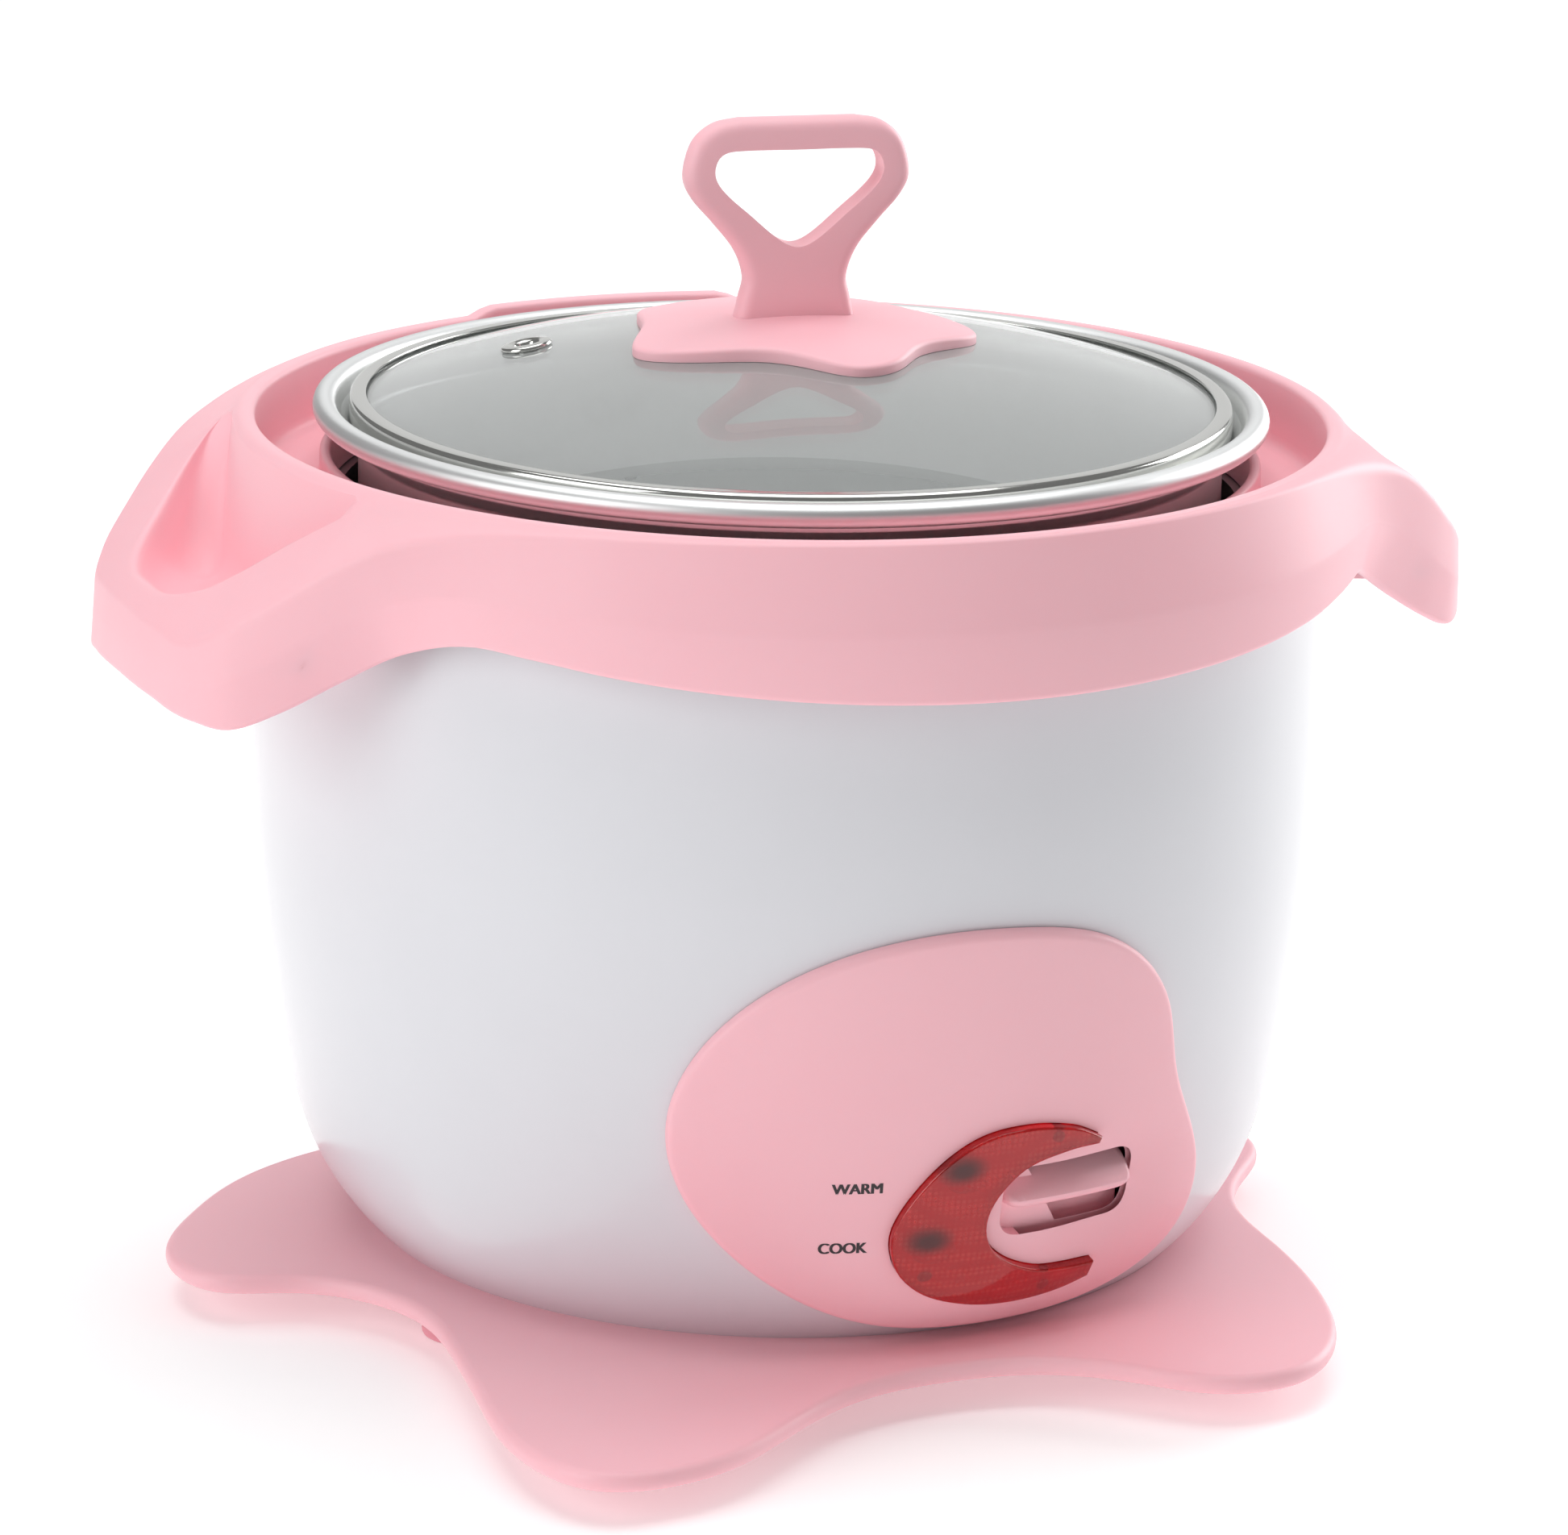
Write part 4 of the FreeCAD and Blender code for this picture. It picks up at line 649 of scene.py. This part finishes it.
def collar_rib(degrees):
    """Rounded section of the collar at an angle counted from +X."""
    fold = abs((degrees + 90) % 180 - 90)
    ar, az, br, bz, cr, cz = smooth_table(COLLAR_RIBS, fold)
    tab = 2.0 * ease((16.5 - abs(degrees - 90)) / 2.5) if 60 < degrees < 120 else 0.0
    crest = CREST + tab
    edge_r = float(smooth_table(SCOOP_EDGE, min(fold, SCOOP_END))[0])
    deep = ease((SCOOP_END - fold) / 13.0)
    wing = ease((24.5 - fold) / 3.0)

    def roof(r):
        return crest + (az - crest) * (r - CREST_OUT) / (ar - CREST_OUT)

    back_r = SCOOP_BACK + (edge_r - SCOOP_BACK) * 0.45 * (1 - ease((SCOOP_END - fold) / 1.6))
    near, far = back_r, edge_r
    if fold > SCOOP_END:
        near = CREST_OUT + (ar - CREST_OUT) * 0.2
        far = CREST_OUT + (ar - CREST_OUT) * 0.4
        blend = ease((fold - SCOOP_END) / 4.0)
        near = back_r + (near - back_r) * blend
        far = edge_r + (far - edge_r) * blend
        near, far = min(near, ar - 0.4), min(max(far, near + 0.05), ar - 0.2)
    foot_near = near + 3.5 * deep
    foot_far = max(far - 6.5 * deep, foot_near + 0.05)
    floor_near = roof(foot_near) + (SCOOP_FLOOR - roof(foot_near)) * deep
    floor_far = roof(foot_far) + (min(SCOOP_FLOOR + 1.0, roof(foot_far)) - roof(foot_far)) * deep
    under = SCOOP_FLOOR - COLLAR_WALL
    inner_top = (crest - 3.6) + (under - (crest - 3.6)) * wing
    wing_top = (az - 3.4) + (min(under, az - 3.4) - (az - 3.4)) * wing
    under_ring = TRAY - COLLAR_WALL
    return rounded([
        (LIP_IN, under_ring, 0.4), (LIP_IN, LIP_HIGH, 1.2), (LIP_OUT, LIP_HIGH, 1.2), (LIP_OUT, TRAY, 1.6),
        (CREST_IN, TRAY, 3.0), (CREST_IN, crest, 2.6), (CREST_OUT, crest, 3.0),
        (near, roof(near), 1.4 * deep + 0.1), (foot_near, floor_near, 12.0 * deep + 0.1),
        (foot_far, floor_far, 14.0 * deep + 0.1), (far, roof(far), 2.4 * deep + 0.1),
        (ar, az, 4.0), (br, bz, 7.0), (cr, cz, 1.1), (cr - COLLAR_WALL, cz, 1.1),
        (br - COLLAR_WALL, bz, 4.0), (ar - COLLAR_WALL - 0.4, wing_top, 2.0),
        (CREST_IN + COLLAR_WALL, inner_top, 0.8), (CREST_IN + COLLAR_WALL, under_ring, 0.4)], 4)


def collar_angle(index, quarter):
    """Angle of a rib: crowded over the wings, wider apart round the front and back."""
    turn, step = divmod(index, quarter)
    dense = int(quarter * 0.62)
    mirrored = turn % 2 == 1
    k = quarter - step if mirrored else step
    fold = 30.0 * k / dense if k <= dense else 30.0 + 60.0 * (k - dense) / (quarter - dense)
    return turn * 90 + (90 - fold if mirrored else fold)


QUARTER = 104
bm = bmesh.new()
along = bm.verts.layers.int.new("along")
first = [bm.verts.new((r, 0, z)) for r, z in collar_rib(0)]
for index, v in enumerate(first):
    v[along] = index
sides = [bm.edges.new((a, b)) for a, b in zip(first, first[1:] + first[:1])]
bmesh.ops.spin(bm, geom=first + sides, cent=(0, 0, 0), axis=(0, 0, 1), angle=math.tau, steps=4 * QUARTER,
               use_merge=True)
ribs = [collar_rib(collar_angle(i, QUARTER)) for i in range(4 * QUARTER)]
for v in bm.verts:
    index = round(math.atan2(v.co.y, v.co.x) / math.tau * 4 * QUARTER) % (4 * QUARTER)
    radius, z = ribs[index][v[along]]
    x, y = polar(radius, collar_angle(index, QUARTER))
    v.co = (x, y, z)
bmesh.ops.recalc_face_normals(bm, faces=bm.faces)
make_piece(bm, "wing_collar", pink_plastic, "root", ["collar"], sharp=60.0)


# ------------------------------------------------------------------ pot
# Spun aluminium pot with a rolled bead, a stepped shoulder for the lid and a satin anodised skin.
# Measuring marks are pressed into the wall and stand a little proud inside; their darker colour is painted
# shade.

POT_RADIUS, POT_WALL, POT_LOW = 95.0, 1.5, 76.3
pot_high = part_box("inner_pot")[1] * 1000
BEAD = 2.6
bead_x, bead_z = pot_high.x - BEAD, pot_high.z - BEAD
bead = [(bead_x + BEAD * math.cos(a), bead_z + BEAD * math.sin(a)) for a in np.linspace(-2.4, 2.9, 20)]
neck = rounded([(bead_x + BEAD * math.cos(2.9), bead_z + BEAD * math.sin(2.9), 0), (98.8, 193.4, 1.6),
                (97.6, 191.9, 1.4), (POT_RADIUS - POT_WALL, 188.4, 1.6),
                (POT_RADIUS - POT_WALL, POT_LOW + POT_WALL, 11.0), (0, POT_LOW + POT_WALL, 0),
                (0, POT_LOW, 0), (POT_RADIUS, POT_LOW, 12.5), (POT_RADIUS, 187.4, 1.6),
                (99.2, 190.6, 1.2), (100.1, 192.8, 1.2)], 6)
bm = turned(bead + neck[1:], 256)

# Satin anodised aluminium: a clear bright metal whose turning marks run round it.
satin_aluminium, tree, skin = new_material("satin_anodised_aluminium", {
    "Metallic": 1.0, "Anisotropic": 0.35})
where = add_node(tree, "ShaderNodeTexCoord")
rings = add_node(tree, "ShaderNodeMapping", {"Scale": (12.0, 12.0, 2200.0)},
                 {"Vector": where.outputs["Object"]})
streak = add_node(tree, "ShaderNodeTexNoise", {"Scale": 1.0, "Detail": 3.0}, {"Vector": rings.outputs[0]})
drift = add_node(tree, "ShaderNodeMapRange", {"To Min": 0.4, "To Max": 0.5}, {"Value": streak.outputs[0]})
tree.links.new(drift.outputs[0], skin.inputs["Roughness"])
lathe = add_node(tree, "ShaderNodeBump", {"Strength": 0.4, "Distance": 0.00002},
                 {"Height": streak.outputs[0]})
tree.links.new(lathe.outputs[0], skin.inputs["Normal"])
two_tone(tree, skin, streak, "#E6E8E8", "#EFF0F0")
make_piece(bm, "pot_shell", satin_aluminium, "pot", ["inner_pot"])

# Painted shade: the marks are the pot's own aluminium, darkened to stand for the shade along their pressed
# edges.
mark_painted_shade, tree, skin = new_material("pressed_mark_painted_shade", {"Metallic": 1.0})
slow = surface_grain(tree, skin, 0.4, 0.002, (0.5, 0.6))
two_tone(tree, skin, slow, "#8B8D8D", "#979999")
INSIDE = POT_RADIUS - POT_WALL
MARKS = [("CUP", 94.0, 175.3, 6.2), ("2", 119.5, 175.4, 6.0), ("1", 117.0, 166.6, 6.0),
         ("5", 90.9, 160.2, 6.0)]
BARS = [(112.8, 104.7, 166.6), (103.5, 94.9, 160.1)]
for number, (word, degrees, height, tall) in enumerate(MARKS):
    bm = lettering(word, tall)
    for v in bm.verts:
        turn = math.radians(degrees) - v.co.x / INSIDE
        radius = INSIDE - 0.25 - v.co.z * 8
        v.co = (radius * math.cos(turn), radius * math.sin(turn), height + v.co.y)
    make_piece(bm, f"pot_mark_{number}", mark_painted_shade, "pot")
for number, (start, end, height) in enumerate(BARS):
    length = math.radians(start - end) * INSIDE
    bm = slab(rounded([(-length / 2, -0.5, 0.4), (length / 2, -0.5, 0.4), (length / 2, 0.5, 0.4),
                       (-length / 2, 0.5, 0.4)]), 0.5, 0.2, 2.0)
    for v in bm.verts:
        turn = math.radians((start + end) / 2) - v.co.x / INSIDE
        radius = INSIDE + 0.05 - v.co.z
        v.co = (radius * math.cos(turn), radius * math.sin(turn), height + v.co.y)
    bmesh.ops.recalc_face_normals(bm, faces=bm.faces)
    make_piece(bm, f"pot_level_bar_{number}", mark_painted_shade, "pot")


# ------------------------------------------------------------------ lid glass
# Tempered soda-lime glass dome, 4 mm thick, with a very slight grey-green body tint at its edge.

DOME, DOME_TOP, GLASS, GLASS_RADIUS = 296.0, 212.0, 4.0, 94.5
dome_centre = DOME_TOP - DOME
HANDLE_HOLE = 2.2
outer_arc = [(r, dome_centre + math.sqrt(DOME ** 2 - r * r))
             for r in np.linspace(HANDLE_HOLE, GLASS_RADIUS, 40)]
inner_arc = [(r, dome_centre + math.sqrt((DOME - GLASS) ** 2 - r * r))
             for r in np.linspace(GLASS_RADIUS, HANDLE_HOLE, 40)]
bm = turned(outer_arc + inner_arc, 192)
clear_glass, tree, skin = new_material("tempered_clear_glass", {
    "IOR": 1.5, "Transmission Weight": 0.74, "Base Color": linear("#F3F6F5")})
where = add_node(tree, "ShaderNodeTexCoord")
haze = add_node(tree, "ShaderNodeTexNoise", {"Scale": 25.0, "Detail": 3.0},
                {"Vector": where.outputs["Object"]})
drift = add_node(tree, "ShaderNodeMapRange", {"To Min": 0.0, "To Max": 0.03}, {"Value": haze.outputs[0]})
tree.links.new(drift.outputs[0], skin.inputs["Roughness"])
make_piece(bm, "glass_dome", clear_glass, "lid", ["lid_glass"])


# ------------------------------------------------------------------ lid band and vent eyelet
# Polished stainless strip folded over the glass edge, and a rolled eyelet of the same steel
# through the vent hole. The strip is spun whole, without the joint where its ends meet.

band_low, band_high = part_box("lid_rim_band")[0].z * 1000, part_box("lid_rim_band")[1] * 1000
BAND_RADIUS = band_high.x
bm = turned(rounded([
    (GLASS_RADIUS - 2.6, band_low, 0.2), (BAND_RADIUS, band_low, 1.4), (BAND_RADIUS, band_high.z, 1.6),
    (GLASS_RADIUS - 1.2, band_high.z, 0.5), (GLASS_RADIUS - 1.2, band_high.z - 0.6, 0.1),
    (BAND_RADIUS - 0.6, band_high.z - 0.6, 0.5), (BAND_RADIUS - 0.6, band_low + 0.6, 0.5),
    (GLASS_RADIUS - 2.6, band_low + 0.6, 0.1)], 5), 256)
polished_steel, tree, skin = new_material("polished_stainless_strip", {"Metallic": 1.0})
slow = surface_grain(tree, skin, 0.5, 0.0015, (0.10, 0.17))
two_tone(tree, skin, slow, "#C9CAC7", "#D6D6D2")
make_piece(bm, "folded_band", polished_steel, "lid", ["lid_rim_band"])

VENT_CIRCLE, VENT_ANGLE = 58.5, 154.0
tilt = math.asin(VENT_CIRCLE / DOME)
vent_turn = Matrix.Rotation(math.radians(VENT_ANGLE), 4, "Z") @ Matrix.Rotation(tilt, 4, "Y")
vent_spot = Vector((0, 0, dome_centre)) + vent_turn @ Vector((0, 0, DOME))
eyelet = [(2.2, -4.9, 0.3), (5.0, -4.9, 0.3), (5.0, -4.1, 0.2), (2.9, -4.1, 0), (2.9, 0.1, 0),
          (5.85, 0.1, 0.4), (5.6, 1.1, 0.7), (4.0, 1.4, 0.8), (2.9, 0.9, 0.8), (2.2, -0.4, 0.6)]
bm = turned(rounded(eyelet, 4), 96)
bmesh.ops.transform(bm, matrix=Matrix.Translation(vent_spot) @ vent_turn, verts=bm.verts)
make_piece(bm, "rolled_eyelet", polished_steel, "lid", ["vent_eyelet"])


# ------------------------------------------------------------------ lid handle
# Splash-shaped plate that sits on the glass, and a rounded triangle loop on a flared stem.
# Both are satin pink polypropylene; the loop is screwed through the glass from below.

PLATE_SPLASH = [(125, 40), (158, 33), (190, 39.5), (216, 32), (234, 28.5), (252, 31), (270, 38.5),
                (284, 37.5), (304, 32.5), (325, 35), (342, 40.5), (4, 37), (22, 34), (52, 40), (86, 34)]
PLATE_DOME, PLATE_TOP = 184.0, 216.0
bm = slab(closed_spline([polar(r, a) for a, r in PLATE_SPLASH], 200), 3.0, 1.1, 3.0)
for v in bm.verts:
    r2 = v.co.x ** 2 + v.co.y ** 2
    under = dome_centre + math.sqrt((DOME + 0.1) ** 2 - r2)
    over = PLATE_TOP - PLATE_DOME + math.sqrt(PLATE_DOME ** 2 - r2)
    v.co.z = under + (over - under) * v.co.z / 3.0
bmesh.ops.recalc_face_normals(bm, faces=bm.faces)
make_piece(bm, "handle_splash", pink_plastic, "lid", ["lid_handle_plate"])

LOOP_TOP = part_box("lid_handle_loop")[1].z * 1000
LOOP_TURN = math.radians(-7.5)
flank = [(13.6, 214.6), (12.4, 220), (11.6, 224.5), (13.8, 230.5), (18.6, 236.5), (23.4, 242), (25.3, 247),
         (23.4, LOOP_TOP - 5.2), (18.8, LOOP_TOP - 1.2), (13, LOOP_TOP)]
side = open_spline(flank, 70)
outer = [(x, z) for x, z in side] + [(-x, z) for x, z in side[::-1]]
under = LOOP_TOP - 6.8
window = [(0, 231.2), (5.2, 233.6), (11, 238.6), (16.8, 243.8), (18.9, 247.6), (17.6, under - 1.1),
          (13.2, under), (0, under)]
window = window + [(-x, z) for x, z in window[-2:0:-1]]
bm = slab(outer, 7.0, 2.9, 0, [closed_spline(window, 120)], both_sides=True)
bmesh.ops.rotate(bm, cent=(0, 0, 0), matrix=Matrix.Rotation(math.pi / 2, 3, "X"), verts=bm.verts)
bmesh.ops.rotate(bm, cent=(0, 0, 0), matrix=Matrix.Rotation(LOOP_TURN, 3, "Z"), verts=bm.verts)
make_piece(bm, "finger_loop", pink_plastic, "lid", ["lid_handle_loop"], sharp=50.0)


# ------------------------------------------------------------------ inner parts
# What the casing hides: heater, thermostat, lever gear, lamps, leads and screws keep their drawn
# shapes, and each gets the finish of its own stock.

def plain_stock(name, first, second, settings, grain_mm, depth_mm, rough):
    """Material of a plain stock: two close shades, a fine grain and a drifting roughness."""
    material, tree, skin = new_material(name, settings)
    slow = surface_grain(tree, skin, grain_mm, depth_mm, rough)
    two_tone(tree, skin, slow, first, second)
    return material


zinc = plain_stock("zinc_plated_steel", "#A9ABAE", "#BFC1C2", {"Metallic": 1.0}, 1.5, 0.004, (0.28, 0.42))
cast = plain_stock("turned_cast_aluminium", "#B4B6B7", "#C3C5C6", {"Metallic": 1.0}, 0.6, 0.01, (0.35, 0.5))
sheath = plain_stock("heat_toned_sheath", "#6E6760", "#857C72", {"Metallic": 1.0}, 0.8, 0.006, (0.4, 0.55))
ferrite = plain_stock("sintered_ferrite", "#232427", "#2E2F33", {}, 0.4, 0.01, (0.55, 0.7))
black = plain_stock("black_thermoset", "#1D1D20", "#26262A", {"IOR": 1.55}, 0.4, 0.008, (0.4, 0.55))
brass = plain_stock("stamped_brass", "#C9A35A", "#D4B06A", {"Metallic": 1.0}, 0.5, 0.002, (0.2, 0.32))
rubber = plain_stock("moulded_silicone", "#D9D7D3", "#E2E0DC", {"IOR": 1.41}, 0.4, 0.006, (0.5, 0.65))
sleeve = plain_stock("woven_glass_sleeve", "#DDD8C8", "#E8E3D4", {}, 0.6, 0.05, (0.6, 0.75))
lamp_glass = plain_stock("neon_lamp_glass", "#E9C9B4", "#F0D6C4", {"Transmission Weight": 0.6}, 2.0, 0.002,
                         (0.05, 0.1))
STOCKS = {
    zinc: ["inner_liner", "thermostat_can", "pivot_bracket", "switch_arm", "leg_screws", "arm_screws",
           "base_screws", "lid_screw", "lid_washer", "heater_leg_1", "heater_leg_2", "heater_leg_3",
           "pivot_pin", "micro_switch_bolt", "magnet_carrier", "sensor_spring"],
    cast: ["heating_plate"], satin_aluminium: ["sensor_cup"], ferrite: ["sensor_ferrite", "pull_magnet"],
    sheath: ["heating_element", "heater_terminal_1", "heater_terminal_2"],
    black: ["micro_switch", "micro_switch_button", "lamp_board", "power_inlet", "thermal_fuse",
            "lens_pegs"],
    brass: ["inlet_pins"], rubber: ["lid_gasket"], sleeve: ["lead_live", "lead_neutral", "lead_earth"],
    lamp_glass: ["warm_lamp", "cook_lamp"],
}
for material, names in STOCKS.items():
    for name in names:
        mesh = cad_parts[name].data
        mesh.materials.clear()
        mesh.materials.append(material)
